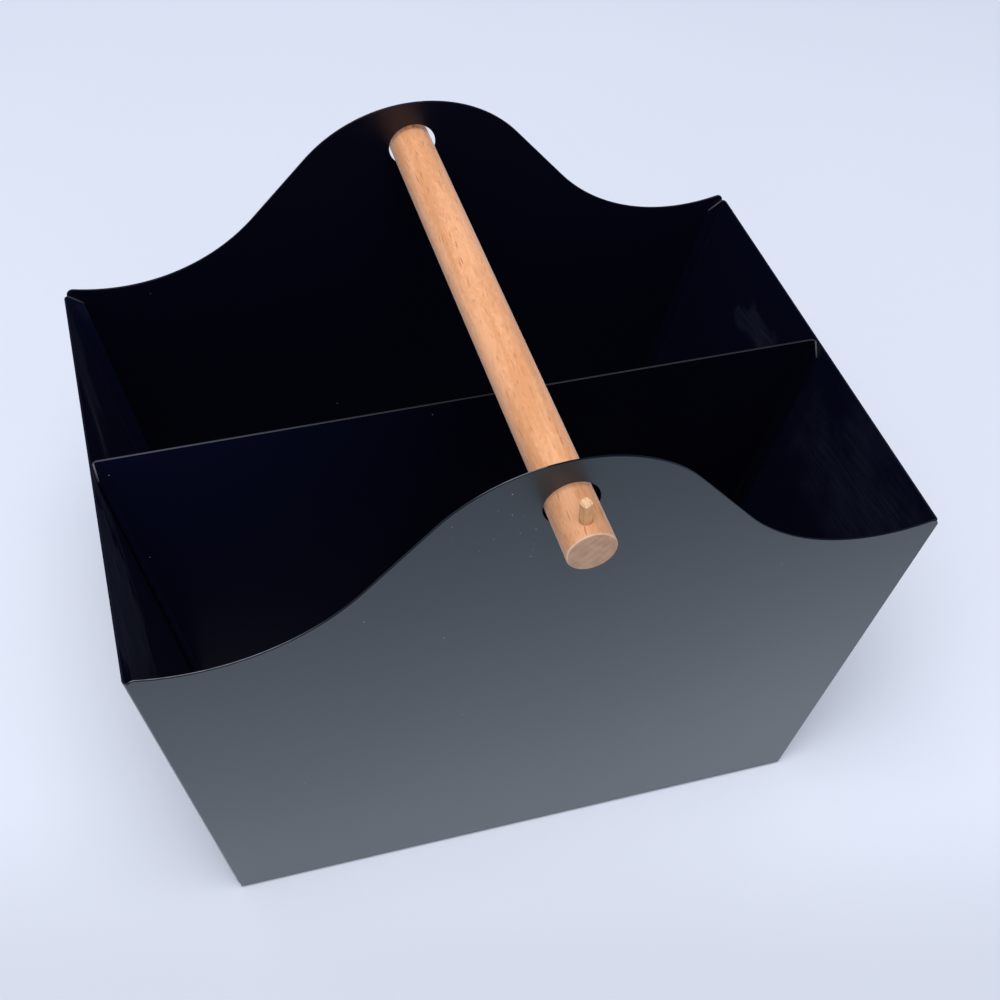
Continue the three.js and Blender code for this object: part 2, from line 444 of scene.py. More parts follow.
@cache
def end_grain_group() -> bpy.types.NodeTree:
    """Cut end of wood: faint slanting year rings, rays across them and fine pores.

    Returns:
        A group with the outputs Ring, Ray and Pore.
    """
    sheet, given, result = new_group(
        "End grain", TreeKind.SHADER,
        {"Place": ORIGIN, "Ring Width": 0.0042, "Wobble Scale": 140.0, "Ring Wobble": 0.004,
         "Ring Contrast": 2.0, "Ray Turn": (0.0, math.radians(45), 0.0),
         "Ray Stretch": (1900.0, 260.0, 170.0), "Pore Scale": 3400.0}, "Ring", "Ray", "Pore")
    place = given["Place"]
    x, _, z = sheet.split(place)
    wobble = sheet.noise(place, given["Wobble Scale"], detail=2.0) * given["Ring Wobble"]
    phase = sheet.math("FRACT", (wobble + (x - z)) / given["Ring Width"])
    slanted = sheet.turned(place, given["Ray Turn"])
    rays = sheet.noise(slanted, given["Ray Stretch"], detail=2.0)
    pores = sheet.add("ShaderNodeTexVoronoi", {"Vector": place, "Scale": given["Pore Scale"]})
    result.feed({"Ring": phase ** given["Ring Contrast"],
                 "Ray": sheet.ramp(rays, low=0.5, high=0.75),
                 "Pore": sheet.ramp(pores["Distance"], low=0.12, high=0.34, out_low=1.0,
                                    out_high=0.0)})
    return sheet.tree


@dataclass
class Shading:
    """A material under construction.

    Args:
        name: The material's name.
    """

    name: str

    def __post_init__(self) -> None:
        """Starts the material with a Principled shader and the place on the piece."""
        self.material = bpy.data.materials.new(self.name)
        self.material.use_nodes = True
        self.sheet = NodeSheet(self.material.node_tree)
        self.shader = Placed(self.sheet, self.material.node_tree.nodes["Principled BSDF"])
        self.place = self.sheet.add("ShaderNodeTexCoord")["Object"]

    def effect(self, group: Callable[[], bpy.types.NodeTree], **values: Value) -> Placed:
        """Places a shared effect, whose inputs are named with underscores for spaces."""
        named = {name.replace("_", " "): value for name, value in values.items()}
        return self.sheet.add("ShaderNodeGroup", {"Place": self.place} | named, node_tree=group())

    def bump(self, height: Value, strength: float, distance: float) -> None:
        """Gives the shader a fine relief.

        Args:
            height: The relief's height, from 0 to 1.
            strength: How strongly it shows.
            distance: The height in metres that 1 stands for.
        """
        self.shader.feed({"Normal": self.sheet.add("ShaderNodeBump", {
            "Height": height, "Strength": strength, "Distance": distance})})


# Finishes

@dataclass(frozen=True)
class RubMark:
    """A rub mark on a side wall.

    Args:
        centre: Its middle.
        half_length: Half its length.
        half_width: Half its width.
        turn: Its turn from upright, in degrees.
        strength: How far it whitens the coating.
        softness: Share of its reach over which it fades.
    """

    centre: Triple
    half_length: float
    half_width: float
    turn: float
    strength: float
    softness: float = 0.65

    def mask(self, shading: Shading) -> Term:
        """Places the mark in a material.

        Args:
            shading: The material under construction.

        Returns:
            How far the mark whitens the coating, from 0 to 1.
        """
        mark = shading.effect(
            rub_mark_group, Centre=self.centre, Half_Length=self.half_length,
            Half_Width=self.half_width, Turn=math.radians(self.turn), Softness=self.softness)
        return mark["Mask"] * self.strength


RUB_MARKS = (
    RubMark((-0.1695, 0.075, 0.168), 0.060, 0.024, 62, 0.6, 0.8),
    RubMark((-0.1688, 0.048, 0.157), 0.022, 0.007, 55, 1.0),
    RubMark((-0.170, -0.064, 0.169), 0.085, 0.045, 44, 0.8, 0.25),
    RubMark((-0.166, -0.022, 0.148), 0.040, 0.004, 44, 0.6, 0.8),
    RubMark((0.1685, 0.050, 0.154), 0.024, 0.010, -81, 0.4, 0.5),
    RubMark((0.1685, -0.024, 0.155), 0.018, 0.008, -70, 0.12),
    RubMark((0.168, -0.070, 0.155), 0.080, 0.050, -85, 0.25, 0.9),
)


@dataclass(frozen=True)
class Coating:
    """Black coating baked on sheet steel.

    Args:
        name: The material's name.
        colour: Colour of the clean coating.
        painted_light_left_colour: Lighter colour at the left end, painted light, or None where the
        colour is the same all along.
        fade_from: Where along X the left colour starts to fade.
        fade_to: Where it has faded.
        roughness: Mean roughness.
        refraction: Index of refraction of the coating.
        painted_reflection_coat: Weight of a clear top layer at the floor, which fades out upwards:
            painted reflection that makes the sheet shine more low down.
        painted_reflection_end: The height where that clear layer ends.
        painted_reflection_power: How slowly it fades at first.
        marks: The rub marks.
        rubbed_colour: Colour of a full rub mark.
        rubbed_dullness: Roughness that a full rub mark adds.
        dust_colour: Colour of dust.
        dust_dullness: Roughness that dust adds.
        dust_centre: The place with the most dust.
        gloss_change: How far the roughness strays from its mean.
        peel: Strength of the pebbled relief.
        peel_height: Height of its pebbles.
    """

    name: str
    colour: Colour = (0.0016, 0.0022, 0.0095)
    painted_light_left_colour: Union[Colour, None] = None
    fade_from: float = -0.16
    fade_to: float = -0.02
    roughness: float = 0.3
    refraction: float = 1.5
    painted_reflection_coat: float = 0.0
    painted_reflection_end: float = 0.27
    painted_reflection_power: float = 0.6
    marks: tuple[RubMark, ...] = ()
    rubbed_colour: Colour = (0.033, 0.038, 0.066)
    rubbed_dullness: float = 0.25
    dust_colour: Colour = (0.30, 0.28, 0.31)
    dust_dullness: float = 0.4
    dust_centre: Triple = (-0.027, -0.118, 0.236)
    gloss_change: float = 0.02
    peel: float = 0.05
    peel_height: float = 0.2 * MM

    def build(self) -> bpy.types.Material:
        """Makes the material.

        Returns:
            The finished material.
        """
        shading = Shading(self.name)
        sheet = shading.sheet
        peel = shading.effect(orange_peel_group)
        dust = shading.effect(dust_group, Centre=self.dust_centre)["Mask"]
        rub_and_glint = 0.0
        for mark in self.marks:
            rub_and_glint = sheet.math("MAXIMUM", rub_and_glint, mark.mask(shading))
        x, _, z = sheet.split(shading.place)
        colour = self.colour
        # Painted light: the coating is lighter towards the left end.
        if self.painted_light_left_colour:
            fade = sheet.ramp(x, self.fade_from, self.fade_to)
            colour = sheet.mix(fade, self.painted_light_left_colour, self.colour)
        colour = sheet.mix(rub_and_glint, colour, self.rubbed_colour)
        roughness = peel["Gloss Change"] * self.gloss_change + self.roughness
        roughness = sheet.math("MULTIPLY_ADD", rub_and_glint, self.rubbed_dullness, roughness)
        roughness = sheet.math("MULTIPLY_ADD", dust, self.dust_dullness, roughness, clamp=True)
        shading.shader.feed({"Base Color": sheet.mix(dust, colour, self.dust_colour),
                             "Roughness": roughness, "IOR": self.refraction})
        # Painted reflection: the clear coat fades out upwards, so the sheet shines more low down.
        if self.painted_reflection_coat:
            weight = sheet.ramp(z, 0.0, self.painted_reflection_end, 1.0, 0.0) ** self.painted_reflection_power
            shading.shader.feed({"Coat Weight": weight * self.painted_reflection_coat,
                                 "Coat Roughness": self.roughness})
        shading.bump(peel["Height"], self.peel, self.peel_height)
        return shading.material


@dataclass(frozen=True)
class PaintedGlintArris:
    """A sheet's top edge with a painted highlight along its rear arris where the edge is level.

    Args:
        name: The material's name.
        middle: The middle of the sheet's thickness along Y.
        painted_glint: Colour of the painted highlight on the rear arris where the edge is level.
        steep_share: What is left of that colour where the edge is steep.
        steep: The normal's Z where the edge counts as steep.
        level: The normal's Z where it counts as level.
        patch_stretch: Patches of the highlight that a metre holds along each axis.
        patch_share: What is left of the colour between the patches.
        coated: Colour of the front arris.
        blur: Half the width of the change between the two.
        refraction: Index of refraction of the coating.
        roughness: Its roughness.
    """

    name: str
    middle: float
    painted_glint: Colour = (0.20, 0.203, 0.235)
    steep_share: float = 0.12
    steep: float = 0.8
    level: float = 0.95
    patch_stretch: Triple = (160.0, 0.0, 160.0)
    patch_share: float = 0.6
    coated: Colour = (0.002, 0.003, 0.006)
    blur: float = 0.05 * MM
    refraction: float = 1.25
    roughness: float = 0.45

    def build(self) -> bpy.types.Material:
        """Makes the material.

        Returns:
            The finished material.
        """
        shading = Shading(self.name)
        sheet = shading.sheet
        _, y, _ = sheet.split(shading.place)
        _, _, upwards = sheet.split(sheet.add("ShaderNodeNewGeometry")["Normal"])
        behind = sheet.ramp(y, self.middle - self.blur, self.middle + self.blur)
        # Painted highlight: strongest where the edge's normal points up, and in patches.
        share = sheet.ramp(upwards, self.steep, self.level, self.steep_share, 1.0)
        patches = sheet.noise(shading.place, self.patch_stretch)
        share = share * sheet.ramp(patches, low=0.3, high=0.6, out_low=self.patch_share)
        shading.shader.feed({"Base Color": sheet.mix(behind * share, self.coated, self.painted_glint),
                             "Roughness": self.roughness, "IOR": self.refraction})
        return shading.material


@dataclass(frozen=True)
class LongGrain:
    """Bare sanded wood cut along its grain, which runs along Y.

    Args:
        name: The material's name.
        pale: Colour of the pale wood.
        warm: Colour of the darker growth.
        fleck: Colour of the short flecks.
        grain_turn: Turn of the grain against the piece, in radians.
        fibre_share: How strongly the fibres show.
        fleck_share: How strongly the flecks show.
        fleck_depth: How deep a fleck is against the fibres' relief.
        relief: Strength of the relief.
        relief_height: Its height.
        roughness: Roughness between the fibres.
        fibre_dullness: Roughness that the fibres add.
        fuzz: Weight of the sheen of its fine raised fibres.
        fuzz_roughness: That sheen's roughness.
        shaded_ends_from: How far along Y from the middle the darker ends start, painted shade.
        shaded_ends_blur: Half the length over which they start.
        shaded_ends_share: What is left of the colour there.
    """

    name: str
    pale: Colour
    warm: Colour
    fleck: Colour
    grain_turn: Triple = ORIGIN
    fibre_share: float = 0.35
    fleck_share: float = 0.8
    fleck_depth: float = 0.4
    relief: float = 0.15
    relief_height: float = 0.1 * MM
    roughness: float = 0.55
    fibre_dullness: float = 0.15
    fuzz: float = 0.0
    fuzz_roughness: float = 0.4
    shaded_ends_from: float = 118 * MM
    shaded_ends_blur: float = 4 * MM
    shaded_ends_share: float = 1.0

    def build(self) -> bpy.types.Material:
        """Makes the material.

        Returns:
            The finished material.
        """
        shading = Shading(self.name)
        sheet = shading.sheet
        grain = shading.effect(long_grain_group, Grain_Turn=self.grain_turn)
        colour = sheet.mix(grain["Ring"], self.pale, self.warm)
        fibre = sheet.ramp(grain["Fibre"], low=0.25, high=0.75, out_high=self.fibre_share)
        colour = sheet.mix(fibre, colour, self.warm)
        flecked = grain["Fleck"] * self.fleck_share
        colour = sheet.mix(flecked, colour, self.fleck)
        _, y, _ = sheet.split(shading.place)
        # Painted shade: the wood is darker towards both ends.
        kept = sheet.ramp(abs(y), self.shaded_ends_from - self.shaded_ends_blur,
                          self.shaded_ends_from + self.shaded_ends_blur, 1.0, self.shaded_ends_share)
        shading.shader.feed({
            "Base Color": sheet.mix(1.0, colour, kept, blend="MULTIPLY"),
            "Roughness": grain["Fibre"] * self.fibre_dullness + self.roughness,
            "Sheen Weight": self.fuzz, "Sheen Roughness": self.fuzz_roughness})
        shading.bump(grain["Fibre"] - flecked * self.fleck_depth, self.relief, self.relief_height)
        return shading.material


@dataclass(frozen=True)
class EndGrain:
    """A cut end of wood, which faces along Y or Z.

    Args:
        name: The material's name.
        pale: Colour of the early growth.
        dark: Colour of the year rings' dark edge and of the pores.
        ring_share: How strongly the year rings show.
        ring_width: Distance between two rings.
        ray_share: How strongly the pale rays show.
        pore_share: How strongly the pores show.
        blotch_share: How strongly slow changes of its colour show.
        blotch_scale: How many of these a metre holds.
        relief: Strength of the relief.
        relief_height: Its height.
        roughness: Its roughness.
    """

    name: str
    pale: Colour
    dark: Colour
    ring_share: float = 0.3
    ring_width: float = 4.2 * MM
    ray_share: float = 0.25
    pore_share: float = 0.3
    blotch_share: float = 0.5
    blotch_scale: float = 260.0
    relief: float = 0.3
    relief_height: float = 0.1 * MM
    roughness: float = 0.7

    def build(self) -> bpy.types.Material:
        """Makes the material.

        Returns:
            The finished material.
        """
        shading = Shading(self.name)
        sheet = shading.sheet
        grain = shading.effect(end_grain_group, Ring_Width=self.ring_width)
        blotches = sheet.noise(shading.place, self.blotch_scale)
        blotches = sheet.ramp(blotches, low=0.35, high=0.7, out_high=self.blotch_share)
        share = grain["Ring"] * self.ring_share - grain["Ray"] * self.ray_share + blotches
        share = sheet.math("MULTIPLY_ADD", grain["Pore"], self.pore_share, share, clamp=True)
        shading.shader.feed({"Base Color": sheet.mix(share, self.pale, self.dark),
                             "Roughness": self.roughness})
        shading.bump(share, self.relief, self.relief_height)
        return shading.material


@dataclass(frozen=True)
class Tabletop:
    """The plain pale floor, with a painted soft shadow in front of the basket.

    Args:
        name: The material's name.
        colour: Its colour.
        front_shadow_share: What is left of the colour far in front, under the painted shadow.
        cloud_share: What is left of the colour in its faint darker clouds.
        cloud_scale: How many clouds a metre holds.
        shadow_slant: How far the painted shadow's front line slants, as Y over X.
        shadow_start: Where along Y the painted shadow starts, at the middle of X.
        shadow_end: Where it is at full strength.
        roughness: Its roughness.
    """

    name: str = "pale floor"
    colour: Colour = (0.80, 0.83, 0.90)
    front_shadow_share: float = 0.82
    cloud_share: float = 0.98
    cloud_scale: float = 2.0
    shadow_slant: float = 0.25
    shadow_start: float = -0.09
    shadow_end: float = -0.21
    roughness: float = 0.6

    def build(self) -> bpy.types.Material:
        """Makes the material.

        Returns:
            The finished material.
        """
        shading = Shading(self.name)
        sheet = shading.sheet
        x, y, _ = sheet.split(shading.place)
        # Painted shadow: the floor darkens towards the front of the basket.
        fade = sheet.ramp(x * self.shadow_slant + y, self.shadow_end, self.shadow_start,
                          self.front_shadow_share, 1.0)
        clouds = sheet.noise(shading.place, self.cloud_scale, detail=2.0)
        shade = fade * sheet.ramp(clouds, low=0.3, high=0.7, out_low=self.cloud_share)
        shading.shader.feed({"Base Color": sheet.mix(1.0, self.colour, shade, blend="MULTIPLY"),
                             "Roughness": self.roughness})
        return shading.material


# Making meshes

def new_piece(name: str, mesh: bpy.types.Mesh) -> bpy.types.Object:
    """Puts a mesh in the scene.

    Args:
        name: The piece's name.
        mesh: Its mesh.

    Returns:
        The piece, at the origin.
    """
    piece = bpy.data.objects.new(name, mesh)
    bpy.context.scene.collection.objects.link(piece)
    return piece


def finished_mesh(name: str, work: bmesh.types.BMesh) -> bpy.types.Mesh:
    """Turns a mesh under construction into a plain one.

    Args:
        name: The new mesh's name.
        work: The mesh under construction, which is gone afterwards.

    Returns:
        The plain mesh.
    """
    mesh = bpy.data.meshes.new(name)
    work.to_mesh(mesh)
    work.free()
    return mesh


def shade_smooth(mesh: bpy.types.Mesh) -> None:
    """Shades all faces smooth, and leaves the mesh's sharp edges as they are."""
    for polygon in mesh.polygons:
        polygon.use_smooth = True


def apply_modifiers(piece: bpy.types.Object) -> None:
    """Turns a piece and its modifiers into a plain mesh.

    Args:
        piece: The object, whose modifiers are gone afterwards.
    """
    bpy.context.view_layer.update()
    graph = bpy.context.evaluated_depsgraph_get()
    mesh = bpy.data.meshes.new_from_object(piece.evaluated_get(graph))
    piece.modifiers.clear()
    old = piece.data
    piece.data = mesh
    mesh.name = piece.name
    bpy.data.meshes.remove(old)


def modify(piece: bpy.types.Object, kind: str, **settings: object) -> None:
    """Changes a piece's mesh by one modifier.

    Args:
        piece: The object.
        kind: The modifier's type.
        **settings: Its properties and their values.
    """
    modifier = piece.modifiers.new(kind.lower(), kind)
    for name, value in settings.items():
        setattr(modifier, name, value)
    apply_modifiers(piece)


def round_edges(piece: bpy.types.Object, width: float, angle: float = 50.0) -> None:
    """Rounds a piece's sharp edges and shades it smooth, with its flats kept flat.

    Args:
        piece: The object.
        width: Width of the rounding in metres.
        angle: The least angle in degrees between two faces that is rounded.
    """
    modify(piece, "BEVEL", width=width, segments=2, limit_method="ANGLE",
           angle_limit=math.radians(angle), use_clamp_overlap=False)
    shade_smooth(piece.data)
    modify(piece, "WEIGHTED_NORMAL", mode="FACE_AREA", weight=100, keep_sharp=True)


def grow(name: str, tree: bpy.types.NodeTree, values: dict[str, object]) -> bpy.types.Object:
    """Makes a piece from a geometry tree.

    Args:
        name: The piece's name.
        tree: The geometry tree.
        values: The tree's inputs by name.

    Returns:
        The piece as a plain mesh.
    """
    piece = new_piece(name, bpy.data.meshes.new(name))
    modifier = piece.modifiers.new("tree", "NODES")
    modifier.node_group = tree
    for item in tree.interface.items_tree:
        if item.in_out == "INPUT":
            modifier[item.identifier] = values[item.name]
    apply_modifiers(piece)
    return piece


def seat(piece: bpy.types.Object, body: Body, slot: Slot, *nodes: str) -> None:
    """Makes a piece ride on its body in place of its solids.

    Args:
        piece: The finished piece.
        body: The body that it moves with.
        slot: The record's slot of its finish; not used.
        *nodes: The solids that it stands for.
    """
    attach(piece, body.value)
    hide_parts(*nodes)
    log.info("%s: %d faces, rides on %s", piece.name, len(piece.data.polygons), body.value)


# What the sheet pieces share

class Part(Enum):
    """The parts of a coated sheet with their own finish, as the number of its slot."""

    OUTSIDE = 0
    INSIDE = 1
    EDGE = 2
    MITRE = 3
    PAINTED_GLINT = 4


@dataclass(frozen=True)
class SheetFinishes:
    """The finishes of one coated sheet.

    Args:
        outside: Its faces that show from outside.
        inside: Its faces that show from inside.
        edge: Its cut edges.
        mitre: The mitred tops of its flanges, lighter with a painted highlight.
        rub_and_glint: Level top edges, lighter with a painted highlight.
    """

    outside: bpy.types.Material
    inside: bpy.types.Material
    edge: bpy.types.Material
    mitre: bpy.types.Material
    rub_and_glint: bpy.types.Material

    def give(self, piece: bpy.types.Object) -> None:
        """Gives a piece the finishes as its slots, in the order of Part.

        Args:
            piece: The object.
        """
        piece.data.materials.clear()
        for finish in (self.outside, self.inside, self.edge, self.mitre, self.rub_and_glint):
            piece.data.materials.append(finish)


@dataclass(frozen=True)
class Shell:
    """Outer sizes of the basket and its sheet, in metres.

    Args:
        wall_height: Height of the side walls.
        top_width: Width over the side walls at their top.
        bottom_width: Width over the bottom.
        sheet: Thickness of the sheet.
        fold_radius: Outer radius of a fold.
        corner_bend: Outer radius where a side wall turns into the bottom.
        seam_gap: Gap between two sheets that lie on each other.
        flange_width: Width of a folded flange.
        mitre_drop: How far a flange's top falls towards its free edge.
        edge_rounding: Width of the rounding of a cut edge.
    """

    wall_height: float = 185 * MM
    top_width: float = 350 * MM
    bottom_width: float = 285.5 * MM
    sheet: float = 1.0 * MM
    fold_radius: float = 2.2 * MM
    corner_bend: float = 3.0 * MM
    seam_gap: float = 0.3 * MM
    flange_width: float = 8 * MM
    mitre_drop: float = 5.5 * MM
    edge_rounding: float = 0.22 * MM

    @property
    def slope(self) -> float:
        """Lean of a side wall from upright, in radians."""
        return math.atan2((self.top_width - self.bottom_width) / 2, self.wall_height)

    def wall_x(self, height: float, inset: float = 0.0) -> float:
        """Distance from the middle to a side wall.

        Args:
            height: Height over the floor.
            inset: Distance inwards from the wall's outer face.

        Returns:
            The distance along X.
        """
        return self.bottom_width / 2 + height * math.tan(self.slope) - inset / math.cos(self.slope)


# End panels

def panel_tree(sizes: dict[str, float]) -> bpy.types.NodeTree:
    """Geometry tree of an end panel: a plate whose top edge follows the wave's rule.

    The outline is a line of samples. Its first and last points are the bottom corners, and
    the others lie on the wave: a round crown, a straight flank, a hollow shoulder and a
    rounded corner.

    Args:
        sizes: The panel's sizes, each of which becomes an input of the tree.

    Returns:
        The tree.
    """
    sheet, given, result = new_group("End panel", TreeKind.GEOMETRY, sizes | {
        "Rear Face": 0.0, "Face Finish": None, "Edge Finish": None}, "Geometry")

    def arc(offset: Term, radius: Term) -> Term:
        """Height of a circle over its centre at a sideways offset."""
        square = radius * radius - offset * offset
        return sheet.math("SQRT", sheet.math("MAXIMUM", square, 0.0))

    def choose(condition: Term, no: Term, yes: Term) -> Term:
        """One of two values."""
        return sheet.add("GeometryNodeSwitch", {"Switch": condition, "False": no, "True": yes},
                         input_type="FLOAT")[0]

    line = sheet.add("GeometryNodeResampleCurve", {
        "Curve": sheet.add("GeometryNodeCurvePrimitiveLine"), "Count": given["Samples"] + 2.0})
    index = sheet.add("GeometryNodeInputIndex")["Index"]
    run = (index - 1.0) * (2.0 / (given["Samples"] - 1.0)) - 1.0
    # The run goes from -1 to 1 along the wave, and the bottom corners lie outside that.
    wave_end = 1.0001
    at_bottom = abs(run) > wave_end
    wave_x = given["Half Width"] * sheet.math("SINE", run * QUARTER_TURN)
    away = abs(wave_x)
    crown = given["Crown Centre"] + arc(away, given["Crown Radius"])
    flank = (away - given["Crown Reach"]) * given["Flank Slope"] + given["Flank Start"]
    shoulder = given["Shoulder Centre"] - arc(away - given["Shoulder X"], given["Shoulder Radius"])
    corner = given["Corner Centre"] + arc(away - given["Corner X"], given["Corner Radius"])
    wave = choose(away > given["Crown Reach"], crown, flank)
    wave = choose(away > given["Flank Reach"], wave, shoulder)
    wave = choose(away > given["Corner Start"], wave, corner)
    bottom_x = sheet.math("SIGN", run) * given["Bottom Half Width"]
    place = sheet.join(choose(at_bottom, wave_x, bottom_x),
                       choose(at_bottom, wave, given["Bottom Height"]))
    outline = sheet.add("GeometryNodeSetPosition", {"Geometry": line, "Position": place})
    outline = sheet.add("GeometryNodeSetSplineCyclic", {"Geometry": outline, "Cyclic": True})
    hole = sheet.add("GeometryNodeCurvePrimitiveCircle", {
        "Resolution": given["Hole Steps"], "Radius": given["Hole Radius"]})
    hole = sheet.add("GeometryNodeTransform", {
        "Geometry": hole, "Translation": sheet.join(y=given["Hole Height"])})

    curves = sheet.add("GeometryNodeJoinGeometry", {"Geometry": [hole, outline]})
    face = sheet.add("GeometryNodeFillCurve", {"Curve": curves}, mode="NGONS")
    lift = sheet.add("GeometryNodeExtrudeMesh", {
        "Mesh": face, "Offset": (0.0, 0.0, 1.0), "Offset Scale": given["Thickness"],
        "Individual": False})
    rim = sheet.add("GeometryNodeStoreNamedAttribute", {
        "Geometry": lift, "Name": "rim", "Value": lift["Side"]}, data_type="BOOLEAN", domain="FACE")
    under = sheet.add("GeometryNodeFlipFaces", {"Mesh": face})
    plate = sheet.add("GeometryNodeJoinGeometry", {"Geometry": [under, rim]})
    plate = sheet.add("GeometryNodeMergeByDistance", {
        "Geometry": plate, "Distance": MERGE_DISTANCE})
    plate = sheet.add("GeometryNodeTransform", {
        "Geometry": plate, "Rotation": (QUARTER_TURN, 0.0, 0.0),
        "Translation": sheet.join(y=given["Rear Face"])})
    is_rim = sheet.add("GeometryNodeInputNamedAttribute", {"Name": "rim"}, data_type="BOOLEAN")
    plate = sheet.add("GeometryNodeRealizeInstances", {"Geometry": plate})
    plate = sheet.coat(plate, given["Face Finish"])
    result.feed({"Geometry": sheet.coat(plate, given["Edge Finish"], chosen=is_rim)})
    return sheet.tree


@dataclass(frozen=True)
class EndPanels:
    """The two upright end panels with the wavy top edge and the handle's hole.

    Args:
        shell: The basket's shared sizes.
        crown_rise: Height of the crown over the side walls.
        crown_radius: Radius of the crown.
        flank_length: Length of the straight flank.
        shoulder_inset: From the top corner to the shoulder's lowest point.
        corner_radius: Width of the rounded top corner.
        edge_inset: How far the panel's edge lies inside the folded edge.
        hole_radius: Radius of the handle's hole.
        hole_below_crown: From the crown's top to the hole's middle.
        samples: Points along the wave.
        hole_steps: Points round the hole.
        glint_until: The front panel's top edge gets the painted highlight left of this X.
        glint_level: Least upward slope of the highlighted part, as the normal's Z.
    """

    shell: Shell
    crown_rise: float = 84 * MM
    crown_radius: float = 71 * MM
    flank_length: float = 40 * MM
    shoulder_inset: float = 27 * MM
    corner_radius: float = 3 * MM
    edge_inset: float = 1.4 * MM
    hole_radius: float = 11.5 * MM
    hole_below_crown: float = 23.5 * MM
    samples: int = 260
    hole_steps: int = 96
    glint_until: float = -12 * MM
    glint_level: float = 0.5

    def sizes(self) -> dict[str, float]:
        """Works out the wave's arcs, each tangent to the next.

        Returns:
            The sizes that the geometry tree takes, the same at both ends.
        """
        shell = self.shell
        low_x = shell.top_width / 2 - self.shoulder_inset
        radii_sum = (low_x**2 + self.crown_rise**2 - self.flank_length**2) / (2 * self.crown_rise)
        shoulder_radius = radii_sum - self.crown_radius
        crown_top = shell.wall_height + self.crown_rise
        crown_centre = crown_top - self.crown_radius
        shoulder_centre = shell.wall_height + shoulder_radius
        flank = (math.atan2(shoulder_centre - crown_centre, low_x)
                 + math.atan2(self.flank_length, radii_sum))
        # The corner's centre lies beside the wall and touches the shoulder's arc from outside.
        slope = math.tan(shell.slope)
        reach = shoulder_radius + self.corner_radius
        corner_inset = self.edge_inset + self.corner_radius
        foot = shell.wall_x(0.0, corner_inset) - low_x
        half_b = foot * slope - shoulder_centre
        rest = foot**2 + shoulder_centre**2 - reach**2
        square = slope**2 + 1
        corner_centre = (-half_b - math.sqrt(half_b**2 - square * rest)) / square
        corner_x = shell.wall_x(corner_centre, corner_inset)
        return {
            "Half Width": corner_x + self.corner_radius,
            "Bottom Half Width": shell.wall_x(self.edge_inset, self.edge_inset),
            "Bottom Height": self.edge_inset,
            "Crown Radius": self.crown_radius,
            "Crown Centre": crown_centre,
            "Crown Reach": self.crown_radius * math.cos(flank),
            "Flank Reach": low_x - shoulder_radius * math.cos(flank),
            "Flank Start": crown_centre + self.crown_radius * math.sin(flank),
            "Flank Slope": -1 / math.tan(flank),
            "Shoulder Radius": shoulder_radius,
            "Shoulder X": low_x,
            "Shoulder Centre": shoulder_centre,
            "Corner Start": low_x + (corner_x - low_x) * shoulder_radius / reach,
            "Corner X": corner_x,
            "Corner Centre": corner_centre,
            "Corner Radius": self.corner_radius,
            "Hole Height": crown_top - self.hole_below_crown,
            "Hole Radius": self.hole_radius,
            "Thickness": shell.sheet,
            "Samples": self.samples,
            "Hole Steps": self.hole_steps,
        }

    def dress(self, piece: bpy.types.Object, end: End, finishes: SheetFinishes) -> None:
        """Gives a panel the finishes of its outside, inside and edges.

        Args:
            piece: The panel, whose rim wears the edge's finish.
            end: The end that it stands at.
            finishes: The finishes of the sheet.
        """
        slots = list(piece.data.materials)
        rims = [slots[polygon.material_index] == finishes.edge for polygon in piece.data.polygons]
        finishes.give(piece)
        for polygon, is_rim in zip(piece.data.polygons, rims):
            if is_rim:
                # Level rim faces left of the handle on the front panel get the painted highlight.
                rub_and_glint = (end is End.FRONT and polygon.normal.z > self.glint_level
                          and polygon.center.x < self.glint_until)
                part = Part.PAINTED_GLINT if rub_and_glint else Part.EDGE
            else:
                part = Part.OUTSIDE if polygon.normal.y * end.value > 0 else Part.INSIDE
            polygon.material_index = part.value

    def build(self, finishes: SheetFinishes) -> None:
        """Makes both panels.

        Args:
            finishes: The finishes of the sheet.
        """
        sizes = self.sizes()
        tree = panel_tree(sizes)
        for end, name in ((End.FRONT, "front_panel"), (End.BACK, "back_panel")):
            _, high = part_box(name)
            piece = grow(f"{name}_sheet", tree, sizes | {
                "Rear Face": high.y, "Face Finish": finishes.outside,
                "Edge Finish": finishes.edge})
            self.dress(piece, end, finishes)
            round_edges(piece, self.shell.edge_rounding)
            seat(piece, Body.BASKET, Slot.COATING, name)


# Folded sheets

@dataclass(frozen=True)
class Column:
    """One line of a folded sheet's cross-section.

    Args:
        y: Its place along Y.
        depth: Its distance inwards from the outer face.
        flange: How far out on a flange it lies, from 0 at the fold to 1 at the free edge.
    """

    y: float
    depth: float
    flange: float = 0.0


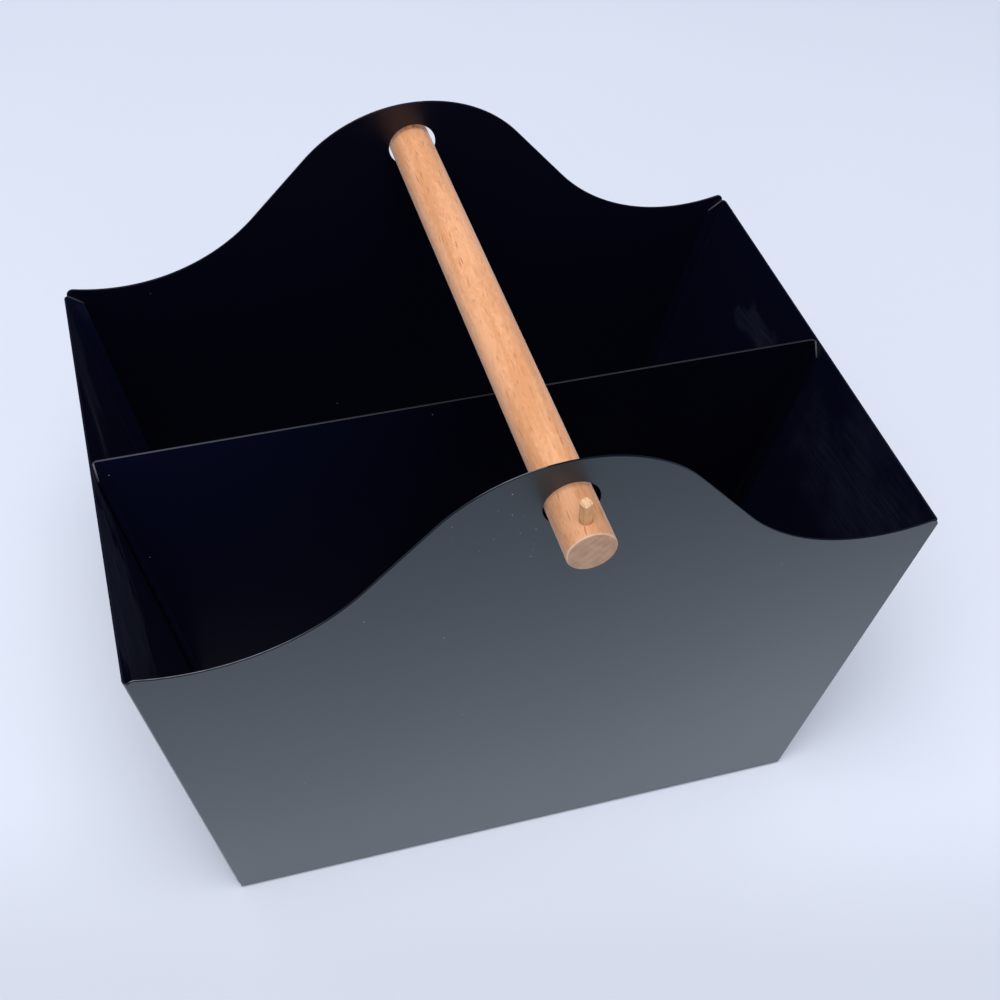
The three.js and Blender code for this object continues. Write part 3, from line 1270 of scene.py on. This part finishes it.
@dataclass(frozen=True)
class WallPath:
    """The front view path down one side wall, along the bottom and up the other wall.

    Args:
        shell: The basket's shared sizes.
        inset: Distance of the path's outer face inwards from the basket's.
        slot_width: Gap between two flanges at a bottom corner.
    """

    shell: Shell
    inset: float
    slot_width: float

    def centre(self) -> Vector:
        """Centre of the right corner's bend, as X and Z."""
        reach = self.inset + self.shell.corner_bend
        return Vector((self.shell.wall_x(reach, reach), reach))

    def corner_start(self, column: Column) -> float:
        """How far from the bend a column starts, so that a flange clears the slot.

        Args:
            column: The cross-section's column.

        Returns:
            The distance along the path.
        """
        if not column.flange:
            return 0.0
        half = (QUARTER_TURN + self.shell.slope) / 2
        return max(0.0, (column.depth - self.shell.corner_bend) / math.tan(half)
                   + self.slot_width / 2 / math.sin(half))

    def wall_point(self, share: float, column: Column) -> Vector:
        """A point on the right wall.

        Args:
            share: 0 at the bend and 1 at the top.
            column: The cross-section's column.

        Returns:
            The point as X and Z.
        """
        shell = self.shell
        along = Vector((math.sin(shell.slope), math.cos(shell.slope)))
        inwards = Vector((-math.cos(shell.slope), math.sin(shell.slope)))
        foot = self.centre() - inwards * (shell.corner_bend - column.depth)
        top = shell.wall_height - shell.mitre_drop * column.flange
        length = (top - foot.y) / along.y
        start = self.corner_start(column)
        return foot + along * (start + (length - start) * share)

    def corner_point(self, share: float, column: Column) -> Vector:
        """A point on the right corner's bend.

        Args:
            share: 0 at the bottom and 1 at the wall.
            column: The cross-section's column.

        Returns:
            The point as X and Z.
        """
        angle = -QUARTER_TURN + share * (QUARTER_TURN - self.shell.slope)
        radius = self.shell.corner_bend - column.depth
        return self.centre() + Vector((math.cos(angle), math.sin(angle))) * radius

    def bottom_point(self, share: float, column: Column) -> Vector:
        """A point on the bottom, from 0 at the left bend to 1 at the right one."""
        reach = self.centre().x - self.corner_start(column)
        return Vector((reach * (2 * share - 1), self.inset + column.depth))


@dataclass
class FoldedSheet:
    """A sheet folded round the basket's width, built row by row along its path.

    Args:
        path: The front view path.
        columns: The cross-section's columns, from one free edge to the other.
        filled: Whether the last column is closed by a flat plate.
        wall_rows: Rows of faces along a side wall.
        bend_rows: Rows of faces round a bottom corner.
        bottom_rows: Rows of faces along the bottom.
        rows: The corners of each row once it is made, None where a flange is cut away.
    """

    path: WallPath
    columns: list[Column]
    filled: bool = False
    wall_rows: int = 6
    bend_rows: int = 8
    bottom_rows: int = 6
    rows: list[list[Union[bmesh.types.BMVert, None]]] = field(default_factory=list)

    def add_stretch(self, work: bmesh.types.BMesh, steps: int,
                    point: Callable[[float, Column], Vector], flanges: bool = True,
                    left: bool = False) -> None:
        """Adds one stretch of the sheet.

        Args:
            work: The mesh under construction.
            steps: Rows of faces in the stretch.
            point: Gives a point for a share of the way and a column.
            flanges: Whether the flanges are there.
            left: Whether it is the stretch's mirror image on the left, run backwards.
        """
        previous = None
        for step in range(steps + 1):
            share = 1 - step / steps if left else step / steps
            row = []
            for column in self.columns:
                flat = point(share, column)
                place = (-flat.x if left else flat.x, column.y, flat.y)
                row.append(work.verts.new(place) if flanges or not column.flange else None)
            if previous:
                for (a, b), (c, d) in zip(zip(previous, previous[1:]), zip(row, row[1:])):
                    if None not in (a, b, c, d):
                        work.faces.new((a, b, d, c))
            previous = row
            self.rows.append(row)

    def build(self, name: str) -> bpy.types.Object:
        """Makes the sheet's outer face.

        Args:
            name: The piece's name.

        Returns:
            The piece, still without its thickness.
        """
        work = bmesh.new()
        path = self.path
        self.add_stretch(work, self.wall_rows, path.wall_point, left=True)
        self.add_stretch(work, self.bend_rows, path.corner_point, flanges=False, left=True)
        self.add_stretch(work, self.bottom_rows, path.bottom_point)
        self.add_stretch(work, self.bend_rows, path.corner_point, flanges=False)
        self.add_stretch(work, self.wall_rows, path.wall_point)
        if self.filled:
            work.faces.new([row[-1] for row in reversed(self.rows)])
        bmesh.ops.remove_doubles(work, verts=work.verts, dist=MERGE_DISTANCE)
        work.normal_update()
        bottom = min(work.faces, key=lambda each: each.calc_center_median().z)
        if bottom.normal.z > 0:
            bmesh.ops.reverse_faces(work, faces=work.faces)
        return new_piece(name, finished_mesh(name, work))


@dataclass(frozen=True)
class SheetBasket:
    """The folded body sheet and the divider across it.

    Args:
        shell: The basket's shared sizes.
        body_slot: Gap between the body sheet's flanges at a bottom corner.
        divider_slot: The same for the divider.
        flange_faces: Faces across a flange.
        fold_faces: Faces round a fold.
        plate_faces: Faces from the front fold to the back fold.
        mitre_lean: Least and most sideways part of a mitred face's normal.
        mitre_rise: Least Z of its normal.
        level: Least Z of a level face's normal.
    """

    shell: Shell
    body_slot: float = 1.6 * MM
    divider_slot: float = 3.2 * MM
    flange_faces: int = 2
    fold_faces: int = 8
    plate_faces: int = 6
    mitre_lean: tuple[float, float] = (0.3, 0.9)
    mitre_rise: float = 0.4
    level: float = 0.9

    def flange_shares(self) -> list[float]:
        """How far out a flange's columns lie, from 1 at the free edge towards the fold."""
        return [1 - step / self.flange_faces for step in range(self.flange_faces)]

    def fold(self, y: float, turn_from: float, turn_to: float) -> list[Column]:
        """Columns round a fold.

        Args:
            y: The fold's centre along Y.
            turn_from: First angle, in radians.
            turn_to: Last angle.

        Returns:
            The columns.
        """
        radius = self.shell.fold_radius
        angles = [turn_from + (turn_to - turn_from) * step / self.fold_faces
                  for step in range(self.fold_faces + 1)]
        return [Column(y + radius * math.cos(angle), radius - radius * math.sin(angle))
                for angle in angles]

    def body_columns(self) -> list[Column]:
        """Cross-section of the body sheet: flange, fold, plate, fold and flange.

        Returns:
            The columns from front to back.
        """
        radius = self.shell.fold_radius
        low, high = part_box("body_sheet")
        front, back = low.y + radius, high.y - radius
        rise = self.shell.flange_width - radius
        flange = [(radius + share * rise, share) for share in self.flange_shares()]
        plate = [Column(front + (back - front) * step / self.plate_faces, 0.0)
                 for step in range(1, self.plate_faces)]
        return ([Column(low.y, depth, share) for depth, share in flange]
                + self.fold(front, math.pi, QUARTER_TURN) + plate
                + self.fold(back, QUARTER_TURN, 0.0)
                + [Column(high.y, depth, share) for depth, share in reversed(flange)])

    def divider_columns(self) -> list[Column]:
        """Cross-section of the divider: a flange and the fold into its plate.

        Returns:
            The columns from the flange's free edge to the plate.
        """
        low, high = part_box("divider")
        fold_y = high.y - self.shell.fold_radius
        flange = [Column(fold_y + share * (low.y - fold_y), 0.0, share)
                  for share in self.flange_shares()]
        return flange + self.fold(fold_y, QUARTER_TURN, 0.0)

    def finish_sheet(self, piece: bpy.types.Object, finishes: SheetFinishes,
                     glint_top: bool) -> None:
        """Gives a folded face its thickness, rounded cut edges and finish.

        Args:
            piece: The outer face.
            finishes: The finishes of the sheet.
            glint_top: Whether its level top edge gets the painted highlight.
        """
        finishes.give(piece)
        modify(piece, "SOLIDIFY", thickness=self.shell.sheet, offset=-1.0, use_even_offset=True,
               use_quality_normals=True, material_offset=Part.INSIDE.value,
               material_offset_rim=Part.EDGE.value)
        least, most = self.mitre_lean
        for polygon in piece.data.polygons:
            x, y, z = polygon.normal
            if polygon.material_index != Part.EDGE.value:
                continue
            # Upward mitred faces get the lighter finish, a painted highlight.
            if z > self.mitre_rise and (least < abs(x) < most or least < abs(y) < most):
                polygon.material_index = Part.MITRE.value
            elif glint_top and z > self.level:
                # Level top edges take the lighter finish, a painted highlight.
                polygon.material_index = Part.PAINTED_GLINT.value
        round_edges(piece, self.shell.edge_rounding)

    def build(self, finishes: SheetFinishes, divider_finishes: SheetFinishes) -> None:
        """Makes the body sheet and the divider.

        Args:
            finishes: The finishes of the body sheet.
            divider_finishes: The finishes of the divider.
        """
        path = WallPath(self.shell, 0.0, self.body_slot)
        body = FoldedSheet(path, self.body_columns()).build("folded_body")
        self.finish_sheet(body, finishes, glint_top=False)
        seat(body, Body.BASKET, Slot.COATING, "body_sheet")
        path = WallPath(self.shell, self.shell.sheet + self.shell.seam_gap, self.divider_slot)
        divider = FoldedSheet(path, self.divider_columns(), filled=True).build("divider_sheet")
        self.finish_sheet(divider, divider_finishes, glint_top=True)
        seat(divider, Body.BASKET, Slot.COATING, "divider")


# Handle

def dowel_tree(sizes: dict[str, float]) -> bpy.types.NodeTree:
    """Geometry tree of the dowel: a chamfered rod along Y with two drilled peg holes.

    Args:
        sizes: The dowel's sizes, each of which becomes an input of the tree.

    Returns:
        The tree.
    """
    sheet, given, result = new_group("Dowel", TreeKind.GEOMETRY, sizes | {
        "Side Finish": None, "End Finish": None, "Chamfer Finish": None}, "Geometry")

    # Of the spine's four points, the outer two are the ends and the others start the chamfers.
    line = sheet.add("GeometryNodeResampleCurve", {
        "Curve": sheet.add("GeometryNodeCurvePrimitiveLine"), "Count": 4})
    from_middle = sheet.add("GeometryNodeInputIndex")["Index"] - 1.5
    at_end = abs(from_middle) > 1.0
    reach = at_end * given["Chamfer"] + (given["Length"] * 0.5 - given["Chamfer"])
    spine = sheet.add("GeometryNodeSetPosition", {
        "Geometry": line, "Position": sheet.join(y=sheet.math("SIGN", from_middle) * reach)})
    section = sheet.add("GeometryNodeCurvePrimitiveCircle", {
        "Resolution": given["Sides"], "Radius": 1.0})
    rod = sheet.add("GeometryNodeCurveToMesh", {
        "Curve": spine, "Profile Curve": section, "Fill Caps": True,
        "Scale": given["Radius"] - at_end * given["Chamfer"]})

    drill = sheet.add("GeometryNodeMeshCylinder", {
        "Vertices": given["Drill Sides"], "Radius": given["Drill Radius"],
        "Depth": given["Drill Depth"] * 2.0}, fill_type="NGON")
    seats = sheet.add("GeometryNodeMeshLine", {
        "Count": 2, "Start Location": sheet.join(y=given["Peg Place"] * -1.0, z=given["Radius"]),
        "Offset": sheet.join(y=given["Peg Place"], z=given["Radius"])}, mode="END_POINTS")
    drills = sheet.add("GeometryNodeInstanceOnPoints", {"Points": seats, "Instance": drill})
    drills = sheet.add("GeometryNodeRealizeInstances", {"Geometry": drills})
    dowel = sheet.add("GeometryNodeMeshBoolean", {"Mesh 1": rod, "Mesh 2": drills},
                      operation="DIFFERENCE", solver="EXACT")

    dowel = sheet.add("GeometryNodeRealizeInstances", {"Geometry": dowel})
    _, endwards, _ = sheet.split(sheet.add("GeometryNodeInputNormal")["Normal"])
    dowel = sheet.coat(dowel, given["Side Finish"])
    for name in ("Chamfer", "End"):
        facing = abs(endwards) > given[f"{name} Facing"]
        dowel = sheet.coat(dowel, given[f"{name} Finish"], chosen=facing)
    result.feed({"Geometry": dowel})
    return sheet.tree


def add_ring(work: bmesh.types.BMesh, previous: list[bmesh.types.BMVert], places: list[Vector],
             slot: int) -> list[bmesh.types.BMVert]:
    """Adds a ring of corners and the faces between it and the ring before it.

    Args:
        work: The mesh under construction.
        previous: The ring before it, empty at the start.
        places: The corners' places.
        slot: Number of the faces' material slot.

    Returns:
        The new ring.
    """
    ring = [work.verts.new(place) for place in places]
    for step in range(len(previous)):
        after = (step + 1) % len(ring)
        corners = (previous[step], previous[after], ring[after], ring[step])
        work.faces.new(corners).material_index = slot
    return ring


@dataclass(frozen=True)
class Peg:
    """The whittled peg at one end of the dowel, upright on its own origin at the dowel's surface.

    Args:
        end: The end of the handle that it is driven in.
        diameter: Diameter of its round part.
        flat: From its axis to each of its whittled flats.
        flat_start: Height over the dowel where the flats begin.
        flat_run: Height over which they reach their depth.
        turn: Turn of the flats about its axis, in radians.
        stand: How far it stands out of the dowel.
        depth: How far it is driven in.
        foot_width: Width of the chamfer at its foot.
        foot_height: Height of that chamfer.
        sides: Corners of a ring.
        ring_step: Distance between two rings of its sides.
        ring_numbers: The rings above its foot, counted from the dowel's surface.
        waviness: How far its sides stray from their rule.
        waves_round: How close together their waves lie round it.
        waves_along: How close together they lie along it, for each millimetre.
        tip_shares: Radii of the tip's rings as shares of its rim.
        tip_drop: How far the tip lies under the peg's full stand, on the whole.
        saw_relief: Height of the saw's marks on the tip.
        saw_marks: How close together these lie, in radians for each millimetre.
        saw_slant: Their slant, as Y over X.
        tip_relief: Height of the tip's broken fibres.
        tip_fibres: How close together these lie, for each millimetre.
        sharp_angle: Least angle of an edge that stays sharp, in degrees.
    """

    end: End
    diameter: float = 5 * MM
    flat: float = 2.1 * MM
    flat_start: float = 2 * MM
    flat_run: float = 2.2 * MM
    turn: float = math.radians(-20)
    stand: float = 10 * MM
    depth: float = 14 * MM
    foot_width: float = 0.3 * MM
    foot_height: float = 0.4 * MM
    sides: int = 48
    ring_step: float = 0.5 * MM
    ring_numbers: range = range(-4, 20)
    waviness: float = 0.06 * MM
    waves_round: float = 1.5
    waves_along: float = 0.35
    tip_shares: tuple[float, ...] = (0.97, 0.86, 0.72, 0.56, 0.4, 0.24, 0.1)
    tip_drop: float = 0.2 * MM
    saw_relief: float = 0.09 * MM
    saw_marks: float = 5.5
    saw_slant: float = 0.6
    tip_relief: float = 0.16 * MM
    tip_fibres: float = 1.6
    sharp_angle: float = 32.0

    def radius(self, angle: float, height: float) -> float:
        """Radius of the peg, which is round low down and cut by four flats above.

        Args:
            angle: Angle round its axis, in radians.
            height: Height over the dowel's surface.

        Returns:
            The radius.
        """
        round_radius = self.diameter / 2
        cut = min(1.0, max(0.0, (height - self.flat_start) / self.flat_run))
        flat = round_radius + (self.flat - round_radius) * cut
        eighth = math.pi / 4
        from_corner = (angle - self.turn + eighth) % QUARTER_TURN - eighth
        return min(round_radius, flat / math.cos(eighth - abs(from_corner)))

    def side_point(self, angle: float, height: float) -> Vector:
        """A point of its sides.

        Args:
            angle: Angle round its axis, in radians.
            height: Height over the dowel's surface.

        Returns:
            The point.
        """
        radius = self.radius(angle, height)
        x, y = math.cos(angle), math.sin(angle)
        if height == -self.depth:
            radius -= self.foot_width
        elif height > 0:
            radius += self.waviness * noise.noise(Vector((
                x * self.waves_round, y * self.waves_round,
                height / MM * self.waves_along + self.end.value)))
        return Vector((x * radius, y * radius, height))

    def tip_point(self, angle: float, share: float) -> Vector:
        """A point of its sawn tip.

        Args:
            angle: Angle round its axis, in radians.
            share: 0 in the middle and 1 at the rim.

        Returns:
            The point.
        """
        radius = self.radius(angle, self.stand) * share
        x, y = radius * math.cos(angle), radius * math.sin(angle)
        saw = math.sin((x + y * self.saw_slant) / MM * self.saw_marks + self.end.value)
        pattern_start = Vector((3.0, self.end.value, 0.0))
        fibres = noise.noise(Vector((x, y, 0.0)) / MM * self.tip_fibres + pattern_start)
        height = self.stand - self.tip_drop + self.saw_relief * saw + self.tip_relief * fibres
        return Vector((x, y, height))

    def mesh(self, name: str) -> bpy.types.Mesh:
        """Makes its mesh.

        Args:
            name: The mesh's name.

        Returns:
            The mesh, with the sides in slot 0 and the tip in slot 1.
        """
        angles = [2 * math.pi * step / self.sides for step in range(self.sides)]
        heights = [-self.depth, self.foot_height - self.depth] + [
            number * self.ring_step for number in self.ring_numbers]
        work = bmesh.new()
        ring = []
        for height in heights:
            ring = add_ring(work, ring, [self.side_point(each, height) for each in angles], 0)
        for share in self.tip_shares:
            ring = add_ring(work, ring, [self.tip_point(each, share) for each in angles], 1)
        work.faces.new(ring).material_index = 1
        work.verts.ensure_lookup_table()
        work.faces.new([work.verts[step] for step in reversed(range(self.sides))])
        work.normal_update()
        return finished_mesh(name, work)


@dataclass(frozen=True)
class Handle:
    """The beech dowel and the peg at each end.

    Args:
        height: Height of the dowel's axis.
        diameter: The dowel's diameter.
        sides: Corners of its section.
        chamfer: Width of the chamfer at its ends.
        chamfer_facing: Least part of a chamfer face's normal along the dowel.
        end_facing: The same for an end's face.
        rounding: Width of the rounding of its edges.
        lean: How far the pegs lean to the left, in radians.
        peg_from_end: From the dowel's end to a peg's axis.
        drill_sides: Corners of a peg's hole.
        gap_round: Gap round a peg in its hole.
        gap_under: Gap under it.
    """

    height: float
    diameter: float = 20 * MM
    sides: int = 128
    chamfer: float = 0.5 * MM
    chamfer_facing: float = 0.3
    end_facing: float = 0.99
    rounding: float = 0.12 * MM
    lean: float = math.radians(6)
    peg_from_end: float = 7.5 * MM
    drill_sides: int = 64
    gap_round: float = 0.05 * MM
    gap_under: float = 0.3 * MM

    @property
    def length(self) -> float:
        """Length of the dowel."""
        low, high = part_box("handle_dowel")
        return high.y - low.y

    def to_place(self) -> Matrix:
        """Takes the handle from its own frame to its place at rest.

        Returns:
            The matrix.
        """
        low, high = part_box("handle_dowel")
        middle = Vector((0.0, (low.y + high.y) / 2, self.height))
        return Matrix.Translation(middle) @ Matrix.Rotation(-self.lean, 4, "Y")

    def dowel(self, side: bpy.types.Material, end: bpy.types.Material,
              chamfer: bpy.types.Material) -> None:
        """Makes the dowel.

        Args:
            side: Finish along the grain.
            end: Finish of the sawn ends.
            chamfer: Finish of the chamfers.
        """
        peg = Peg(End.FRONT)
        sizes = {
            "Length": self.length, "Radius": self.diameter / 2, "Chamfer": self.chamfer,
            "Sides": self.sides, "Peg Place": self.length / 2 - self.peg_from_end,
            "Drill Radius": peg.diameter / 2 + self.gap_round,
            "Drill Depth": peg.depth + self.gap_under, "Drill Sides": self.drill_sides,
            "Chamfer Facing": self.chamfer_facing, "End Facing": self.end_facing}
        piece = grow("beech_dowel", dowel_tree(sizes), sizes | {
            "Side Finish": side, "End Finish": end, "Chamfer Finish": chamfer})
        piece.data.transform(self.to_place())
        round_edges(piece, self.rounding, angle=30.0)
        seat(piece, Body.HANDLE, Slot.BEECH, "handle_dowel")

    def peg(self, name: str, end: End, side: bpy.types.Material,
            tip: bpy.types.Material) -> None:
        """Makes one peg.

        Args:
            name: The solid that it stands for.
            end: The end of the handle that it is driven in.
            side: Finish of its sides.
            tip: Finish of its sawn tip.
        """
        peg = Peg(end)
        mesh = peg.mesh(f"{name}_wood")
        mesh.materials.append(side)
        mesh.materials.append(tip)
        place = Vector((0.0, end.value * (self.length / 2 - self.peg_from_end), self.diameter / 2))
        mesh.transform(self.to_place() @ Matrix.Translation(place))
        shade_smooth(mesh)
        mesh.set_sharp_from_angle(angle=math.radians(peg.sharp_angle))
        seat(new_piece(f"{name}_wood", mesh), Body.HANDLE, Slot.PEG_WOOD, name)


# Studio

@dataclass(frozen=True)
class Viewpoint:
    """The camera, in the measures of the photograph's frame.

    Args:
        azimuth: Turn round the object in degrees, 0 along +Y.
        elevation: Height over the horizon in degrees.
        roll: Turn of the camera about its own axis in degrees.
        distance: From the aimed point to the camera.
        aim: The point that it turns round.
        focal_px: Focal length in pixels of the image.
        centre_px: Where the optical axis meets the image.
        nearest: The least distance that it sees.
        farthest: The greatest distance that it sees.
    """

    azimuth: float = -16.94
    elevation: float = 48.10
    roll: float = 2.49
    distance: float = 679.7 * MM
    aim: Triple = (-21.4 * MM, 0.0, 133.7 * MM)
    focal_px: float = 1403.8
    centre_px: tuple[float, float] = (426.0, 484.2)
    nearest: float = 10 * MM
    farthest: float = 50.0

    def build(self) -> None:
        """Makes the camera and gives it to the scene."""
        turn, lift, roll = map(math.radians, (self.azimuth, self.elevation, self.roll))
        back = Vector((math.sin(turn) * math.cos(lift), -math.cos(turn) * math.cos(lift),
                       math.sin(lift)))
        level = Vector((0.0, 0.0, 1.0)).cross(back).normalized()
        rise = back.cross(level)
        right = level * math.cos(roll) + rise * math.sin(roll)
        above = rise * math.cos(roll) - level * math.sin(roll)
        data = bpy.data.cameras.new("camera")
        data.sensor_width = SENSOR_WIDTH_MM
        data.lens = self.focal_px * SENSOR_WIDTH_MM / IMAGE_SIDE
        data.shift_x = (IMAGE_SIDE / 2 - self.centre_px[0]) / IMAGE_SIDE
        data.shift_y = (self.centre_px[1] - IMAGE_SIDE / 2) / IMAGE_SIDE
        data.clip_start = self.nearest
        data.clip_end = self.farthest
        camera = bpy.data.objects.new("camera", data)
        bpy.context.scene.collection.objects.link(camera)
        turned = Matrix((right, above, back)).transposed().to_4x4()
        eye = Vector(self.aim) + back * self.distance
        camera.matrix_world = Matrix.Translation(eye) @ turned
        bpy.context.scene.camera = camera


@dataclass(frozen=True)
class Lamp:
    """A square soft lamp.

    Args:
        name: The lamp's name.
        place: Where it hangs.
        size: Length of its sides.
        power: Its power in watts.
        colour: Its colour.
        aim: The point that it faces.
    """

    name: str
    place: Triple
    size: float
    power: float
    colour: Colour
    aim: Triple

    def build(self) -> None:
        """Makes the lamp."""
        data = bpy.data.lights.new(self.name, "AREA")
        data.size = self.size
        data.energy = self.power
        data.color = self.colour
        lamp = bpy.data.objects.new(self.name, data)
        bpy.context.scene.collection.objects.link(lamp)
        ahead = Vector(self.aim) - Vector(self.place)
        turned = ahead.to_track_quat("-Z", "Y").to_matrix().to_4x4()
        lamp.matrix_world = Matrix.Translation(self.place) @ turned


@dataclass(frozen=True)
class Studio:
    """Plain pale floor, a soft lamp and a pale world that is brighter above the front.

    Args:
        floor_half: Half the floor's side.
        bright: Light of the world from its bright side.
        dim: Light of the world from its dim side.
        bright_side: Direction to the world's bright side.
        dim_until: The cosine to the bright side up to which the world is dim.
        bright_from: The cosine from which it is bright.
        seen: The world where the camera sees it.
        lamp: The lamp.
    """

    floor_half: float = 6.0
    bright: Colour = (0.56, 0.62, 0.78)
    dim: Colour = (0.17, 0.185, 0.22)
    bright_side: Triple = (-0.3, -0.5, 0.8)
    dim_until: float = 0.1
    bright_from: float = 0.9
    seen: Colour = (0.78, 0.82, 0.9)
    lamp: Lamp = Lamp("overhead", (-0.5, -0.8, 3.1), 2.4, 80.0, (1.0, 0.99, 0.97),
                      (0.0, 0.1, 0.0))

    def floor(self) -> None:
        """Makes the floor under the basket."""
        half = self.floor_half
        mesh = bpy.data.meshes.new("floor")
        corners = [(-half, -half, 0), (half, -half, 0), (half, half, 0), (-half, half, 0)]
        mesh.from_pydata(corners, [], [(0, 1, 2, 3)])
        mesh.materials.append(Tabletop().build())
        new_piece("floor", mesh)

    def world(self) -> None:
        """Makes the world's light, which fades from its bright side to its dim side."""
        world = bpy.data.worlds.new("pale world")
        world.use_nodes = True
        bpy.context.scene.world = world
        sheet = NodeSheet(world.node_tree)
        direction = sheet.add("ShaderNodeTexCoord")["Generated"]
        bright_side = tuple(Vector(self.bright_side).normalized())
        facing = sheet.vector("DOT_PRODUCT", direction, bright_side)
        share = sheet.ramp(facing, self.dim_until, self.bright_from)
        light = sheet.mix(share, self.dim, self.bright)
        camera_ray = sheet.add("ShaderNodeLightPath")["Is Camera Ray"]
        background = Placed(sheet, world.node_tree.nodes["Background"])
        background.feed({"Color": sheet.mix(camera_ray, light, self.seen), "Strength": 1.0})

    def build(self) -> None:
        """Makes the floor, the world and the lamp."""
        self.floor()
        self.world()
        self.lamp.build()
        bpy.context.scene.view_settings.view_transform = "Standard"
        log.info("studio: floor, world and %s lamp", self.lamp.name)


def build_sheets() -> None:
    """Makes the finishes of the sheets and the four sheets."""
    body = SheetFinishes(
        # The outside's lighter teal base and fading clear coat are painted reflection of the floor.
        outside=Coating("outer black coating", (0.002, 0.014, 0.022), roughness=0.36,
                        refraction=1.54, painted_reflection_coat=1.0).build(),
        # The inside is lighter at its left end: painted light on the left wall.
        inside=Coating("inner black coating", (0.0021, 0.0029, 0.0115),
                       painted_light_left_colour=(0.0045, 0.0060, 0.0240), fade_to=-0.10,
                       marks=RUB_MARKS).build(),
        edge=Coating("coated cut edge", refraction=1.25, roughness=0.4).build(),
        # The mitres' lighter colour is a painted highlight.
        mitre=Coating("mitre with painted highlight", (0.060, 0.061, 0.072),
                      roughness=0.45).build(),
        # The lighter top edge finish, most at the left, is a painted highlight on the divider.
        rub_and_glint=Coating("rubbed edge", (0.0156, 0.0159, 0.0195),
                       painted_light_left_colour=(0.052, 0.053, 0.065), refraction=1.35,
                       roughness=0.45).build())
    # The divider's coating is a darker copy, painted shade, lighter at the left, painted light.
    divider = replace(body, inside=Coating(
        "divider coating", (0.0010, 0.0013, 0.0055), painted_light_left_colour=(0.0036, 0.0050, 0.0215),
        fade_to=0.06).build())
    front_low, front_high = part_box("front_panel")
    panels = replace(
        body,
        # The panels' inner coating is a darker copy of the inside's: painted shade.
        inside=Coating("inner panel coating", (0.0015, 0.0020, 0.0076),
                       refraction=1.45).build(),
        rub_and_glint=PaintedGlintArris("rubbed panel edge", (front_low.y + front_high.y) / 2).build())
    shell = Shell()
    SheetBasket(shell).build(body, divider)
    EndPanels(shell).build(panels)


def build_handle() -> None:
    """Makes the finishes of the wood, the dowel and the pegs."""
    # The dowel's darker ends are painted shade.
    side = LongGrain("beech along the grain", pale=(0.94, 0.465, 0.232),
                     warm=(0.74, 0.325, 0.135), fleck=(0.36, 0.115, 0.038),
                     grain_turn=(0.0, 0.0, math.radians(3.5)), fleck_share=0.75, fuzz=0.3,
                     shaded_ends_share=0.8)
    end = EndGrain("beech end", pale=(0.53, 0.315, 0.19), dark=(0.37, 0.195, 0.11))
    # The chamfer's paler colour is a painted highlight along the lit rim of each end.
    chamfer = EndGrain("beech chamfer", pale=(0.70, 0.44, 0.30), dark=(0.46, 0.26, 0.16))
    peg_side = LongGrain("whittled peg", pale=(0.74, 0.385, 0.165), warm=(0.53, 0.25, 0.095),
                         fleck=(0.34, 0.19, 0.08), fleck_share=0.3,
                         grain_turn=(QUARTER_TURN, 0.0, 0.0)).build()
    peg_tip = EndGrain("sawn peg tip", pale=(0.85, 0.535, 0.31), dark=(0.47, 0.25, 0.12),
                       ring_share=0.7, ring_width=0.9 * MM).build()
    joint = next(each for each in frame["joints"] if each["name"] == "handle_turn")
    _, _, axis_height = joint["pos_m"]
    handle = Handle(axis_height)
    handle.dowel(side.build(), end.build(), chamfer.build())
    handle.peg("front_peg", End.FRONT, peg_side, peg_tip)
    handle.peg("back_peg", End.BACK, peg_side, peg_tip)


def main() -> None:
    """Builds the sheets, the handle and the studio in order."""
    logging.basicConfig(level=logging.INFO, format="%(name)s: %(message)s")
    build_sheets()
    build_handle()
    Viewpoint().build()
    Studio().build()


if __name__ == "__main__":
    main()
